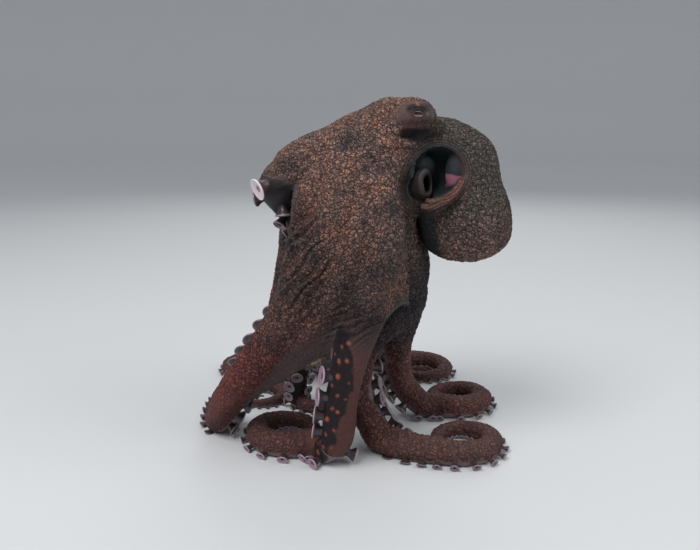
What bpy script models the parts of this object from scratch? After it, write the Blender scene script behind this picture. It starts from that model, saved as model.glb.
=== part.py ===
"""Day octopus (Octopus cyanea), life size, standing high on its arms with its mantle hanging.

Everything is measured in millimetres here and built in metres. +Z is up, the
octopus turns its left side towards -Y, and the floor is z = 0.
"""

import math

import bmesh
import bpy
import numpy as np

MM = 0.001
GAP = 0.3
X_SHIFT = 2.6
Y_SHIFT = -114.2
CURVE_STEPS = 16
FRAME_STEP = 3.0
SHARP_ANGLE = math.radians(40.0)

# Crown: the ring where the eight arms leave the head.
CROWN = np.array([22.0, 0.0, 296.0])
CROWN_RADIUS = 36.0
ORAL = np.array([-0.5, 0.0, -0.866])
DORSAL = np.array([-0.866, 0.0, 0.5])
LEFT = np.array([0.0, -1.0, 0.0])
START_SPREAD = 0.6
START_LENGTH = 16.0

# Arms: half-width along the arm, section shape and the way an arm is divided.
ARM_HALF_WIDTH = 17.6
BASE_SQUEEZE = 0.64
SQUEEZE_SHARE = 0.13
TAPER_POWER = 0.8
TAPER_SWELL = 0.9
TIP_HALF_WIDTH = 1.1
SIDE_BULGE = 1.03
ABORAL_HEIGHT = 0.84
ORAL_DEPTH = 0.90
FLAT_DEPTH = 0.7
FLOOR_EASE = 4.0
ROLL_POWER = 0.9
ROLL_MEAN = 1.0 - 1.0 / (1.0 + ROLL_POWER)
ROLL_AIM = 25.0
ROLL_STEPS = 100
ARM_SIDES = 8
BASE_SECTIONS = 12
MID_SECTIONS = 12
TIP_SECTIONS = 14
BASE_SHARE = 0.36
MID_SHARE = 0.70

# Web between neighbouring arms.
WEB_THICKNESS = 4.0
WEB_CLEARANCE = 0.6
WEB_LIFT = 0.5
WEB_REACH = 0.97
WEB_START = 28.0
WEB_STEP = 2.0
WEB_FULLEST = 0.8
WEB_ROWS = 9
WEB_COLUMNS = 6

# Suckers big enough to change the outline.
SUCKER_SIDES = 6
SUCKER_ROW = 0.46
SUCKER_SEAT = 0.35
SUCKER_SPLAY = math.radians(36.0)
SUCKER_PROFILE = ((0.0, 0.56), (0.60, 0.56), (0.92, 1.0))
SUCKER_SPACING = 0.56
SUCKER_MARGIN = 0.6

# Each arm: place on the crown (degrees from the dorsal line, left positive), the points that
# its centre line passes, its length, and the directions that its back faces, from crown to tip.
# Its end rolls up on the floor: the roll's centre, first and last radius, the angle at which the
# arm comes in and the way round (+1 is anticlockwise from above).
ARMS = {
    "l1": {
        "place": 22.5,
        "way": [(-34, -15, 299), (-52, -15, 288), (-66, -9, 274), (-65, 9, 259), (-44, 25, 237),
                (-32, 50, 192), (-40, 76, 128), (-58, 94, 62)],
        "roll": ((-24, 118), 38.0, 7.0, -170.0, 1),
        "length": 500.0,
        "back": [(0.0, (-0.8, -0.3, 0.6)), (0.10, (-0.1, 0.1, 0.95)), (0.15, (0.35, 0.35, 0.8)),
                 (0.20, (0.8, 0.35, 0.35)), (0.25, (0.5, -0.5, 0.6)), (0.33, (-0.7, -0.5, 0.4)),
                 (0.46, (-0.9, 0.1, 0.3)), (0.56, (-0.9, -0.2, 0.3)), (0.68, (0, 0, 1))],
    },
    "l2": {
        "place": 67.5,
        "way": [(-17, -50, 245), (-43, -51, 182), (-82, -30, 118), (-116, -2, 68), (-138, 30, 26),
                (-146, 64, 0)],
        "roll": ((-108, 128), 42.0, 7.0, 190.0, -1),
        "length": 650.0,
        "back": [(0.0, (-0.4, -0.9, 0.3)), (0.2, (-0.1, -0.9, 0.4)), (0.4, (0.1, -0.92, 0.3)),
                 (0.52, (-0.4, -0.7, 0.6)), (0.62, (0, 0, 1))],
    },
    "l3": {
        "place": 112.5,
        "way": [(31, -50, 236), (21, -55, 180), (3, -53, 126), (-8, -48, 72), (-14, -40, 28)],
        "roll": ((-62, 24), 43.0, 8.0, -60.0, -1),
        "length": 570.0,
        "back": [(0.0, (0.3, -0.9, 0.2)), (0.27, (0.6, -0.75, 0.15)), (0.36, (0.95, -0.3, 0.1)),
                 (0.44, (0.6, -0.7, 0.3)), (0.54, (0, 0, 1))],
    },
    "l4": {
        "place": 157.5,
        "way": [(48, -15, 230), (54, -12, 190), (58, -6, 160), (38, -10, 141), (16, -2, 118),
                (6, 10, 80), (18, 4, 36), (48, -18, 0)],
        "roll": ((112, 4), 40.0, 7.0, -110.0, 1),
        "length": 600.0,
        "back": [(0.0, (0.8, -0.3, -0.4)), (0.16, (0.95, -0.3, 0.1)), (0.24, (0.9, -0.4, -0.2)),
                 (0.32, (0.1, -0.6, -0.7)), (0.42, (-0.9, -0.3, -0.1)), (0.52, (-0.5, -0.4, 0.6)),
                 (0.62, (0, 0, 1))],
    },
    "r4": {
        "place": -157.5,
        "way": [(54, 24, 228), (66, 39, 190), (63, 43, 155), (50, 25, 121), (50, 44, 86),
                (60, 74, 44)],
        "roll": ((122, 118), 40.0, 7.0, -120.0, 1),
        "length": 570.0,
        "back": [(0.0, (0.8, 0.3, -0.4)), (0.18, (1.0, 0.0, 0.1)), (0.3, (0.6, -0.6, 0.4)),
                 (0.42, (0.7, -0.5, 0.5)), (0.56, (0, 0, 1))],
    },
    "r3": {
        "place": -112.5,
        "way": [(42, 62, 236), (58, 98, 178), (58, 132, 112), (48, 160, 50)],
        "roll": ((96, 216), 42.0, 7.0, -160.0, -1),
        "length": 600.0,
        "back": [(0.0, (0.3, 0.9, 0.2)), (0.15, (0.75, 0.65, 0.2)), (0.3, (0.8, 0.6, 0.3)),
                 (0.44, (0.4, 0.6, 0.7)), (0.56, (0, 0, 1))],
    },
    "r2": {
        "place": -67.5,
        "way": [(4, 66, 258), (-4, 112, 196), (-16, 152, 124), (-26, 184, 56)],
        "roll": ((-8, 258), 40.0, 7.0, -170.0, -1),
        "length": 630.0,
        "back": [(0.0, (-0.3, 0.9, 0.3)), (0.3, (-0.1, 0.85, 0.5)), (0.44, (0, 0.7, 0.7)),
                 (0.58, (0, 0, 1))],
    },
    "r1": {
        "place": -22.5,
        "way": [(-38, 34, 287), (-55, 72, 243), (-63, 105, 192), (-76, 134, 136), (-94, 164, 64)],
        "roll": ((-134, 226), 42.0, 7.0, -30.0, 1),
        "length": 640.0,
        "back": [(0.0, (-0.7, 0.4, 0.6)), (0.3, (-0.75, 0.55, 0.4)), (0.48, (-0.5, 0.4, 0.8)),
                 (0.58, (0, 0, 1))],
    },
}

# Webs: the two arms, how far along each the web reaches, the dip of its free edge and
# how far its middle bulges outward.
WEBS = [
    ("l1", "l2", 58.0, 172.0, 0.16, 14.0),
    ("l2", "l3", 316.0, 182.0, 0.05, 12.0),
    ("l3", "l4", 156.0, 118.0, 0.10, 5.0),
    ("l4", "r4", 118.0, 118.0, 0.15, 3.0),
    ("r4", "r3", 125.0, 160.0, 0.12, 6.0),
    ("r3", "r2", 200.0, 215.0, 0.22, 8.0),
    ("r2", "r1", 215.0, 200.0, 0.22, 8.0),
    ("r1", "l1", 150.0, 70.0, 0.20, 4.0),
]

# Stretches with suckers, in two rows: arm, start and end along the arm, first diameter.
SUCKERS = [
    ("l1", 78.0, 100.0, 22.0),
    ("l2", 190.0, 306.0, 19.0),
    ("l3", 182.0, 266.0, 19.0),
]

# Mantle: centre x and z, half-thickness across the bend, half-depth along Y, spine direction.
MANTLE = [
    (62.0, 306.0, 25.0, 26.0, (0.95, -0.30)),
    (84.0, 300.0, 31.5, 37.0, (0.90, -0.45)),
    (101.0, 284.0, 38.0, 44.0, (0.60, -0.80)),
    (105.0, 265.0, 38.0, 46.0, (0.25, -0.97)),
    (107.0, 248.0, 43.5, 47.0, (0.10, -1.00)),
    (109.5, 231.0, 44.5, 48.0, (0.02, -1.00)),
    (110.0, 215.0, 41.0, 42.0, (0.00, -1.00)),
    (106.5, 204.0, 32.5, 33.0, (-0.05, -1.00)),
    (106.0, 197.0, 19.0, 20.0, (-0.05, -1.00)),
]
MANTLE_SIDES = 20
APERTURE = np.array([78.0, -42.0, 279.0])
APERTURE_RADIUS = 22.5
COLLAR_RADII = (27.5, 24.0, 27.5)
COLLAR_CENTRE_Y = -22.0
POCKET_DEPTH = 28.0

# Head: height above the crown, half-widths (dorsal-ventral, left-right) and shift towards +X.
HEAD = [
    (0.3, 46.0, 46.0, 0.0),
    (14.0, 44.0, 45.0, 3.0),
    (28.0, 36.0, 42.0, 8.0),
    (38.0, 32.0, 38.0, 12.0),
    (46.0, 23.0, 30.0, 14.0),
    (51.0, 11.0, 16.0, 15.5),
]
HEAD_SIDES = 18
EYE = np.array([54.5, -31.0, 325.5])
EYE_DOME = np.array([55.5, -29.8, 328.6])
EYE_AXIS = np.array([0.25, -0.88, 0.40])
EYE_RADIUS = 11.5
EYE_DOME_RADII = (19.5, 16.0, 16.0)
EYE_RISE = 0.6

FUNNEL_MOUTH = np.array([68.0, -38.0, 272.0])
FUNNEL_AXIS = np.array([0.30, -0.94, 0.10])
FUNNEL_LENGTH = 22.0
FUNNEL_RADII = (8.0, 12.5)
FUNNEL_STATIONS = ((1.0, 1.15), (0.4, 1.08), (0.0, 1.0))
FUNNEL_WALL = 3.2
FUNNEL_BORE = 0.7
FUNNEL_SIDES = 12

SKIN_COLOUR = (0.085, 0.040, 0.028, 1.0)
WEB_COLOUR = (0.055, 0.035, 0.030, 1.0)
EYE_COLOUR = (0.30, 0.14, 0.08, 1.0)
FUNNEL_COLOUR = (0.045, 0.040, 0.042, 1.0)


def unit(vector):
    vector = np.asarray(vector, float)
    return vector / np.linalg.norm(vector)


def smooth(value):
    value = min(1.0, max(0.0, value))
    return value * value * (3.0 - 2.0 * value)


def collection(name, helper=False):
    made = bpy.data.collections.new(name)
    bpy.context.scene.collection.children.link(made)
    made.hide_render = helper
    return made


def material(name, colour, roughness):
    made = bpy.data.materials.new(name)
    made.use_nodes = True
    shader = made.node_tree.nodes["Principled BSDF"]
    shader.inputs["Base Color"].default_value = colour
    shader.inputs["Roughness"].default_value = roughness
    shader.inputs["Metallic"].default_value = 0.0
    return made


def world(points):
    """Millimetres of this script as metres about the base's centre."""
    return (np.asarray(points, float) + (X_SHIFT, Y_SHIFT, 0.0)) * MM


def add_object(name, bm, target, colour=SKIN_COLOUR, roughness=0.55):
    bmesh.ops.recalc_face_normals(bm, faces=bm.faces)
    mesh = bpy.data.meshes.new(name)
    bm.to_mesh(mesh)
    bm.free()
    mesh.shade_smooth()
    mesh.set_sharp_from_angle(angle=SHARP_ANGLE)
    obj = bpy.data.objects.new(name, mesh)
    obj.parent = base
    target.objects.link(obj)
    if target is helpers:
        obj.hide_render = True
        obj.display_type = "WIRE"
    else:
        mesh.materials.append(material(name + "_finish", colour, roughness))
    return obj


def loft(bm, rings):
    """Joins rings of points with quads and closes both ends."""
    made = [[bm.verts.new(world(point)) for point in ring] for ring in rings]
    count = len(made[0])
    for ring, following in zip(made, made[1:]):
        for k in range(count):
            after = (k + 1) % count
            bm.faces.new((ring[k], ring[after], following[after], following[k]))
    bm.faces.new(made[0][::-1])
    bm.faces.new(made[-1])


def ellipse(centre, first, second, radius_1, radius_2, sides):
    turn = [2.0 * math.pi * (k + 0.5) / sides for k in range(sides)]
    return [centre + first * radius_1 * math.cos(a) + second * radius_2 * math.sin(a) for a in turn]


def ball(bm, centre, axes, radii, segments=16, rings=10):
    made = bmesh.ops.create_uvsphere(bm, u_segments=segments, v_segments=rings, radius=1.0)["verts"]
    for vert in made:
        x, y, z = vert.co
        point = centre + axes[0] * x * radii[0] + axes[1] * y * radii[1] + axes[2] * z * radii[2]
        vert.co = world(point)


def boolean(obj, other, operation):
    modifier = obj.modifiers.new(operation.lower() + "_" + other.name, "BOOLEAN")
    modifier.operation = operation
    modifier.solver = "EXACT"
    modifier.object = other


def crown_point(place):
    """Where an arm leaves the crown, and the direction outward from the crown's axis."""
    angle = math.radians(place)
    outward = DORSAL * math.cos(angle) + LEFT * math.sin(angle)
    return CROWN + CROWN_RADIUS * outward, outward


def catmull_rom(points, beyond):
    """A smooth curve through the points that leaves towards the point beyond them."""
    points = [np.asarray(p, float) for p in points]
    padded = [2 * points[0] - points[1]] + points + [beyond]
    curve = []
    for p0, p1, p2, p3 in zip(padded, padded[1:], padded[2:], padded[3:]):
        t1 = math.sqrt(np.linalg.norm(p1 - p0))
        t2 = t1 + math.sqrt(np.linalg.norm(p2 - p1))
        t3 = t2 + math.sqrt(np.linalg.norm(p3 - p2))
        for t in np.linspace(t1, t2, CURVE_STEPS, endpoint=False):
            a1 = (t1 - t) / t1 * p0 + t / t1 * p1
            a2 = (t2 - t) / (t2 - t1) * p1 + (t - t1) / (t2 - t1) * p2
            a3 = (t3 - t) / (t3 - t2) * p2 + (t - t2) / (t3 - t2) * p3
            b1 = (t2 - t) / t2 * a1 + t / t2 * a2
            b2 = (t3 - t) / (t3 - t1) * a2 + (t - t1) / (t3 - t1) * a3
            curve.append((t2 - t) / (t2 - t1) * b1 + (t - t1) / (t2 - t1) * b2)
    curve.append(points[-1])
    return np.array(curve)


def half_width(t):
    """An arm's half-width at this share of its length: slim at the crown, then a long taper."""
    base = BASE_SQUEEZE + (1.0 - BASE_SQUEEZE) * smooth(t / SQUEEZE_SHARE)
    taper = (1.0 - t) ** TAPER_POWER * (1.0 + TAPER_SWELL * t)
    return ARM_HALF_WIDTH * base * taper + TIP_HALF_WIDTH


class Arm:
    """An arm's centre line with its frame, read by the distance from the crown."""

    def __init__(self, spec):
        start, outward = crown_point(spec["place"])
        self.length = spec["length"]
        self.back = spec["back"]
        centre, radius_1, radius_2, angle, turn = spec["roll"]
        entry = self.roll_point(centre, radius_1, math.radians(angle))
        beyond = self.roll_point(centre, radius_1, math.radians(angle + ROLL_AIM * turn))
        leaving = unit(ORAL + outward * START_SPREAD)
        route = catmull_rom([start, start + leaving * START_LENGTH] + spec["way"] + [entry], beyond)
        route = self.with_roll(route, centre, radius_1, radius_2, math.radians(angle), turn)
        steps = np.linalg.norm(np.diff(route, axis=0), axis=1)
        self.at = np.concatenate([[0.0], np.cumsum(steps)])
        rest = np.array([half_width(min(s / self.length, 1.0)) for s in self.at]) * ORAL_DEPTH
        rest -= FLAT_DEPTH
        above = np.maximum(route[:, 2] - rest, 0.0)
        route[:, 2] = rest + np.sqrt(above ** 2 + FLOOR_EASE ** 2) - FLOOR_EASE
        self.curve = route

    @staticmethod
    def roll_point(centre, radius, angle):
        return np.array([centre[0] + radius * math.cos(angle), centre[1] + radius * math.sin(angle), 0.0])

    def with_roll(self, route, centre, radius_1, radius_2, angle, turn):
        """Adds what is left of the arm as a spiral on the floor that tightens to its tip."""
        left = self.length - np.linalg.norm(np.diff(route, axis=0), axis=1).sum()
        whole_turn = left / (radius_2 + (radius_1 - radius_2) * ROLL_MEAN)
        rolled = []
        for share in np.linspace(0.0, 1.0, ROLL_STEPS)[1:]:
            radius = radius_1 - (radius_1 - radius_2) * share ** ROLL_POWER
            rolled.append(self.roll_point(centre, radius, angle + turn * whole_turn * share))
        return np.concatenate([route, rolled])

    def point(self, s):
        return np.array([np.interp(s, self.at, self.curve[:, k]) for k in range(3)])

    def frame(self, s):
        """(centre, along, across, back) at this distance."""
        along = unit(self.point(s + FRAME_STEP) - self.point(max(s - FRAME_STEP, 0.0)))
        t = s / self.length
        shares = [share for share, _ in self.back]
        facing = np.array([np.interp(t, shares, [v[k] for _, v in self.back]) for k in range(3)])
        back = unit(facing - along * (facing @ along))
        return self.point(s), along, np.cross(back, along), back

    def width(self, s):
        return half_width(min(s / self.length, 1.0))

    def section(self, s):
        centre, along, across, back = self.frame(s)
        width = self.width(s)
        top = math.sin(2.0 * math.pi * (ARM_SIDES / 4.0 - 0.5) / ARM_SIDES)
        ring = []
        for k in range(ARM_SIDES):
            angle = 2.0 * math.pi * (k + 0.5) / ARM_SIDES
            height = ABORAL_HEIGHT if math.sin(angle) > 0 else ORAL_DEPTH
            rise = back * width * height * math.sin(angle) / top
            point = centre + across * width * SIDE_BULGE * math.cos(angle) + rise
            if s < 1.0:
                point = point - along * ((point - CROWN) @ ORAL - GAP / 2) / (along @ ORAL)
            point[2] = max(point[2], 0.0)
            ring.append(point)
        return ring

    def flank(self, s, neighbour):
        """A point just off the arm's side towards its neighbour, and the way this side faces."""
        centre, along, across, back = self.frame(s)
        towards = neighbour - centre
        towards = unit(towards - along * (towards @ along))
        facing = unit(towards + back * WEB_LIFT)
        reach = self.width(s) * math.hypot(SIDE_BULGE * (facing @ across), WEB_REACH * (facing @ back))
        return centre + facing * (reach + WEB_CLEARANCE), facing


def arm_piece(name, arm, start, end, sections, target, grow=0.0):
    bm = bmesh.new()
    rings = []
    for s in np.linspace(start, end, sections):
        ring = arm.section(s)
        centre = sum(ring) / len(ring)
        rings.append([p + unit(p - centre) * grow for p in ring])
    loft(bm, rings)
    return add_object(name, bm, target)


def arm_clearance(name, arm):
    """A slightly swollen copy of an arm's first length, to trim its neighbours with."""
    end = BASE_SHARE * arm.length
    return arm_piece(f"arm_{name}_clearance", arm, GAP / 2, end, BASE_SECTIONS, helpers, grow=2 * GAP)


def sucker_rows(name, arm, start, end, diameter):
    """Flared discs on short stalks, in two rows, as closed shapes to join to the arm."""
    bm = bmesh.new()
    s = start
    side = 1
    while s < end:
        centre, along, across, back = arm.frame(s)
        width = arm.width(s)
        facing = unit(-back * math.cos(SUCKER_SPLAY) + across * side * math.sin(SUCKER_SPLAY))
        size = diameter * width / arm.width(start)
        root = centre + across * side * width * SUCKER_ROW - back * width * SUCKER_SEAT
        first = unit(np.cross(facing, along))
        second = np.cross(facing, first)
        rings = []
        for rise, share in SUCKER_PROFILE:
            radius = size * share / 2
            rings.append(ellipse(root + facing * width * rise, first, second, radius, radius, SUCKER_SIDES))
        loft(bm, rings)
        s += size * SUCKER_SPACING
        side = -side
    return add_object(name, bm, helpers)


def build_arm(name, arm):
    cuts = (0.0, BASE_SHARE * arm.length, MID_SHARE * arm.length, arm.length - 0.5)
    counts = (BASE_SECTIONS, MID_SECTIONS, TIP_SECTIONS)
    pieces = []
    for label, start, end, count in zip(("base", "mid", "tip"), cuts, cuts[1:], counts):
        piece = arm_piece(f"arm_{name}_{label}", arm, start + GAP / 2, end - GAP / 2, count, octopus)
        pieces.append((piece, start, end))
    for owner, first, last, diameter in SUCKERS:
        if owner != name:
            continue
        for piece, start, end in pieces:
            low = max(first, start + diameter * SUCKER_MARGIN)
            high = min(last, end - diameter * SUCKER_MARGIN)
            if high > low:
                joined = sucker_rows(f"suckers_{piece.name}", arm, low, high, diameter)
                boolean(piece, joined, "UNION")


def facing_flanks(first, second, s_1, s_2):
    point_1, side_1 = first.flank(s_1, second.point(s_2))
    point_2, side_2 = second.flank(s_2, first.point(s_1))
    return point_1, side_1, point_2, side_2


def parting(first, second):
    """The distance from the crown at which two neighbouring arms leave room for a web."""
    s = WEB_START
    while True:
        point_1, side_1, point_2, side_2 = facing_flanks(first, second, s, s)
        if (point_2 - point_1) @ unit(side_1 - side_2) > WEB_THICKNESS:
            return s
        s += WEB_STEP


def build_web(one, other, reach_1, reach_2, dip, bulge):
    """A thin closed panel from one arm's flank to the next one's, with a scalloped free edge."""
    first, second = arms[one], arms[other]
    start = parting(first, second)
    out = unit(first.frame(start)[3] + second.frame(start)[3])
    grid = np.zeros((WEB_ROWS, WEB_COLUMNS, 3))
    sides = np.zeros((WEB_ROWS, 2, 3))
    across = np.linspace(0.0, 1.0, WEB_COLUMNS)
    for i, u in enumerate(np.linspace(0.0, 1.0, WEB_ROWS)):
        for j, v in enumerate(across):
            here = u * (1.0 - dip * 4.0 * v * (1.0 - v))
            s_1 = start + (reach_1 - start) * here
            s_2 = start + (reach_2 - start) * here
            point_1, side_1, point_2, side_2 = facing_flanks(first, second, s_1, s_2)
            fullness = math.sin(math.pi * v) * math.sin(math.pi * min(here, WEB_FULLEST))
            grid[i, j] = point_1 * (1 - v) + point_2 * v + out * bulge * fullness
            if j == 0:
                sides[i, 0] = side_1
            if j == WEB_COLUMNS - 1:
                sides[i, 1] = side_2
    down = np.gradient(grid, axis=0)
    over = np.gradient(grid, axis=1)
    normal = np.cross(down, over)
    normal /= np.linalg.norm(normal, axis=2, keepdims=True)
    half = WEB_THICKNESS / 2
    for i in range(WEB_ROWS):
        for j, side, share in ((0, sides[i, 0], 1.0 - across), (WEB_COLUMNS - 1, sides[i, 1], across)):
            grid[i] += side * half * abs(normal[i, j] @ side) * share[:, None]
    bm = bmesh.new()
    layers = []
    for face in (1.0, -1.0):
        sheet = world(grid + normal * half * face)
        layers.append([[bm.verts.new(point) for point in row] for row in sheet])
    for i in range(WEB_ROWS - 1):
        for j in range(WEB_COLUMNS - 1):
            for layer in layers:
                bm.faces.new((layer[i][j], layer[i][j + 1], layer[i + 1][j + 1], layer[i + 1][j]))
    rim = [(0, j) for j in range(WEB_COLUMNS - 1)]
    rim += [(i, WEB_COLUMNS - 1) for i in range(WEB_ROWS - 1)]
    rim += [(WEB_ROWS - 1, j) for j in range(WEB_COLUMNS - 1, 0, -1)]
    rim += [(i, 0) for i in range(WEB_ROWS - 1, 0, -1)]
    for (i, j), (k, m) in zip(rim, rim[1:] + rim[:1]):
        bm.faces.new((layers[0][i][j], layers[0][k][m], layers[1][k][m], layers[1][i][j]))
    return add_object(f"web_{one}_{other}", bm, octopus, WEB_COLOUR)


def head_rings(grow):
    rings = []
    for height, across, deep, shift in HEAD:
        centre = CROWN - ORAL * (height - grow * (height < 1.0)) + np.array([shift, 0.0, 0.0])
        rings.append(ellipse(centre, DORSAL, LEFT, across + grow, deep + grow, HEAD_SIDES))
    return rings


def eye_axes(side):
    out = unit(EYE_AXIS * (1.0, side, 1.0))
    long_way = unit(np.cross(out, (0.0, 0.0, 1.0)))
    return long_way, np.cross(out, long_way), out


def eye_ball(name, side, radius, target, deeper=0.0):
    bm = bmesh.new()
    axes = eye_axes(side)
    place = EYE * (1.0, side, 1.0) - axes[2] * deeper
    ball(bm, place, axes, (radius, radius, radius), 12, 8)
    return add_object(name, bm, target, EYE_COLOUR, 0.15)


def head_shape(name, grow, target):
    """The head with its two eye mounds, swollen by this much."""
    bm = bmesh.new()
    loft(bm, head_rings(grow))
    head = add_object(name, bm, target)
    radii = [radius + grow for radius in EYE_DOME_RADII]
    for label, side in (("left", 1.0), ("right", -1.0)):
        bm = bmesh.new()
        ball(bm, EYE_DOME * (1.0, side, 1.0), eye_axes(side), radii, 12, 7)
        boolean(head, add_object(f"{name}_mound_{label}", bm, helpers), "UNION")
    return head


def build_head():
    head = head_shape("head", 0.0, octopus)
    for label, side in (("left", 1.0), ("right", -1.0)):
        deeper = EYE_RADIUS - EYE_DOME_RADII[2] - EYE_RISE
        boolean(head, eye_ball(f"socket_{label}", side, EYE_RADIUS + GAP, helpers, deeper), "DIFFERENCE")
        eye_ball(f"eye_{label}", side, EYE_RADIUS, octopus, deeper)
    return head


def build_mantle():
    rings = []
    for x, z, across, deep, (along_x, along_z) in MANTLE:
        along = unit((along_x, 0.0, along_z))
        first = np.cross(LEFT, along)
        rings.append(ellipse(np.array([x, 0.0, z]), first, LEFT, across, deep, MANTLE_SIDES))
    bm = bmesh.new()
    loft(bm, rings)
    mantle = add_object("mantle", bm, octopus)
    axes = (np.array([1.0, 0.0, 0.0]), np.array([0.0, 1.0, 0.0]), np.array([0.0, 0.0, 1.0]))
    for label, side in (("left", 1.0), ("right", -1.0)):
        bm = bmesh.new()
        place = np.array([APERTURE[0], COLLAR_CENTRE_Y * side, APERTURE[2]])
        ball(bm, place, axes, COLLAR_RADII, 14, 9)
        boolean(mantle, add_object(f"collar_{label}", bm, helpers), "UNION")
    for label, side in (("left", 1.0), ("right", -1.0)):
        bm = bmesh.new()
        radii = (APERTURE_RADIUS, POCKET_DEPTH, APERTURE_RADIUS)
        ball(bm, APERTURE * (1.0, side, 1.0), axes, radii, 14, 9)
        boolean(mantle, add_object(f"pocket_{label}", bm, helpers), "DIFFERENCE")
    return mantle


def funnel_tube(name, stations, grow, target):
    """A closed elliptical tube about the funnel's axis: stations are (distance back, swell)."""
    out = unit(FUNNEL_AXIS)
    flat = unit(np.cross(out, (0.0, 0.0, 1.0)))
    tall = np.cross(flat, out)
    bm = bmesh.new()
    rings = []
    for back, swell in stations:
        radii = [radius * swell + grow for radius in FUNNEL_RADII]
        rings.append(ellipse(FUNNEL_MOUTH - out * back, flat, tall, *radii, FUNNEL_SIDES))
    loft(bm, rings)
    return add_object(name, bm, target, FUNNEL_COLOUR)


def build_funnel():
    """A short thick tube that looks out of the mantle's left opening."""
    outside = [(FUNNEL_LENGTH * share, swell) for share, swell in FUNNEL_STATIONS]
    funnel = funnel_tube("funnel", outside, 0.0, octopus)
    inside = ((FUNNEL_LENGTH * FUNNEL_BORE, 1.0), (-FUNNEL_WALL, 1.0))
    boolean(funnel, funnel_tube("funnel_bore", inside, -FUNNEL_WALL, helpers), "DIFFERENCE")
    longer = [(outside[0][0] + GAP, outside[0][1]), outside[1], (-GAP, outside[2][1])]
    return funnel, funnel_tube("funnel_clearance", longer, GAP, helpers)


def keep_clear(obj, swollen_shapes):
    """Trims a piece where it would run into its neighbours."""
    for shape in swollen_shapes:
        boolean(obj, shape, "DIFFERENCE")


for old in list(bpy.data.objects):
    bpy.data.objects.remove(old, do_unlink=True)
octopus = collection("octopus")
helpers = collection("octopus_helpers", helper=True)
base = bpy.data.objects.new("octopus_base", None)
octopus.objects.link(base)
arms = {name: Arm(spec) for name, spec in ARMS.items()}
for arm_name, made_arm in arms.items():
    build_arm(arm_name, made_arm)
swollen_arms = {name: arm_clearance(name, made_arm) for name, made_arm in arms.items()}
for web in WEBS:
    keep_clear(build_web(*web), [swollen_arms[name] for name in web[:2]])
build_head()
mantle_object = build_mantle()
funnel_object, swollen_funnel = build_funnel()
swollen_head = head_shape("head_clearance", 2 * GAP, helpers)
ventral_arms = [swollen_arms[name] for name in ("l3", "l4", "r4", "r3")]
keep_clear(mantle_object, [swollen_head, swollen_funnel] + ventral_arms)
keep_clear(funnel_object, [swollen_head] + ventral_arms[:2])
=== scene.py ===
"""Looks of the day octopus: one granular skin over all the flesh, with suckers, eyes and siphon.

Lengths are in millimetres unless a name says otherwise. Shapes are laid out as in part.py (+X to
the camera's right, +Y away from it, +Z up), then shifted and scaled to metres in the CAD's frame.
"""

import itertools
import math

import bpy
import numpy as np
import openvdb
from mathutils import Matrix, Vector

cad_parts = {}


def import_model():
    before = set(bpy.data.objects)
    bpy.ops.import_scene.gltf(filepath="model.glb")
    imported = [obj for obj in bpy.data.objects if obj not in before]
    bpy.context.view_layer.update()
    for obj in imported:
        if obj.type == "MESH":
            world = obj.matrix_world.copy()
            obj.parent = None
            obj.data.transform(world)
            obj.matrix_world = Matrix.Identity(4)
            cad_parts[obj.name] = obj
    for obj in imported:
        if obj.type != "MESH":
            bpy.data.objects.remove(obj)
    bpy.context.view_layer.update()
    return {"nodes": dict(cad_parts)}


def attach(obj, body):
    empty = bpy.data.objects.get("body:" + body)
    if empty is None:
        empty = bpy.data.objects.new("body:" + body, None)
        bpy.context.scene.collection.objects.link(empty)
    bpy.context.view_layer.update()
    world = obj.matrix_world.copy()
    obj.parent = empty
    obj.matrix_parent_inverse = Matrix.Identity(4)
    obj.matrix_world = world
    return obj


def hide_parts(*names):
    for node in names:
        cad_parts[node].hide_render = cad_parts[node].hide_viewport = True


MM = 0.001
TAU = 2 * math.pi
SHIFT = np.array([2.6, -114.2, 0])
VOXEL = 1.4
BAND = 6
FAR = VOXEL * BAND
FIELD_BOX = (-178, -82, -8), (176, 310, 358)
BLOCK = 20000
SIDES = (1, -1)
UPRIGHT = np.eye(3)

CROWN = np.array([22, 0, 296])
CROWN_RADIUS = 36
ORAL = np.array([-0.5, 0, -0.866])
DORSAL = np.array([-0.866, 0, 0.5])
LEFT = np.array([0, -1, 0])
START_SPREAD = 0.6
START_LENGTH = 16
ARM_HALF_WIDTH = 17.6
BASE_SQUEEZE = 0.64
SQUEEZE_SHARE = 0.13
TIP_HALF_WIDTH = 1.1
SECTION_POWER = 0.86
SECTION_WIDTH = 0.965
ABORAL_HEIGHT = 0.84
ORAL_DEPTH = 0.90
ORAL_GROOVE = 0.10
ARM_ROOTS = (14, 7)
FLAT_DEPTH = 0.7
FLOOR_EASE = 4
ROLL_POWER = 0.9
ROLL_MEAN = 1 - 1 / (1 + ROLL_POWER)
ROLL_LEAD = math.radians(25)
# The knots that each step of a Catmull-Rom curve blends between.
CURVE_SPANS = ((0, 1), (1, 2), (2, 3)), ((0, 2), (1, 3)), ((1, 2),)

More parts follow.
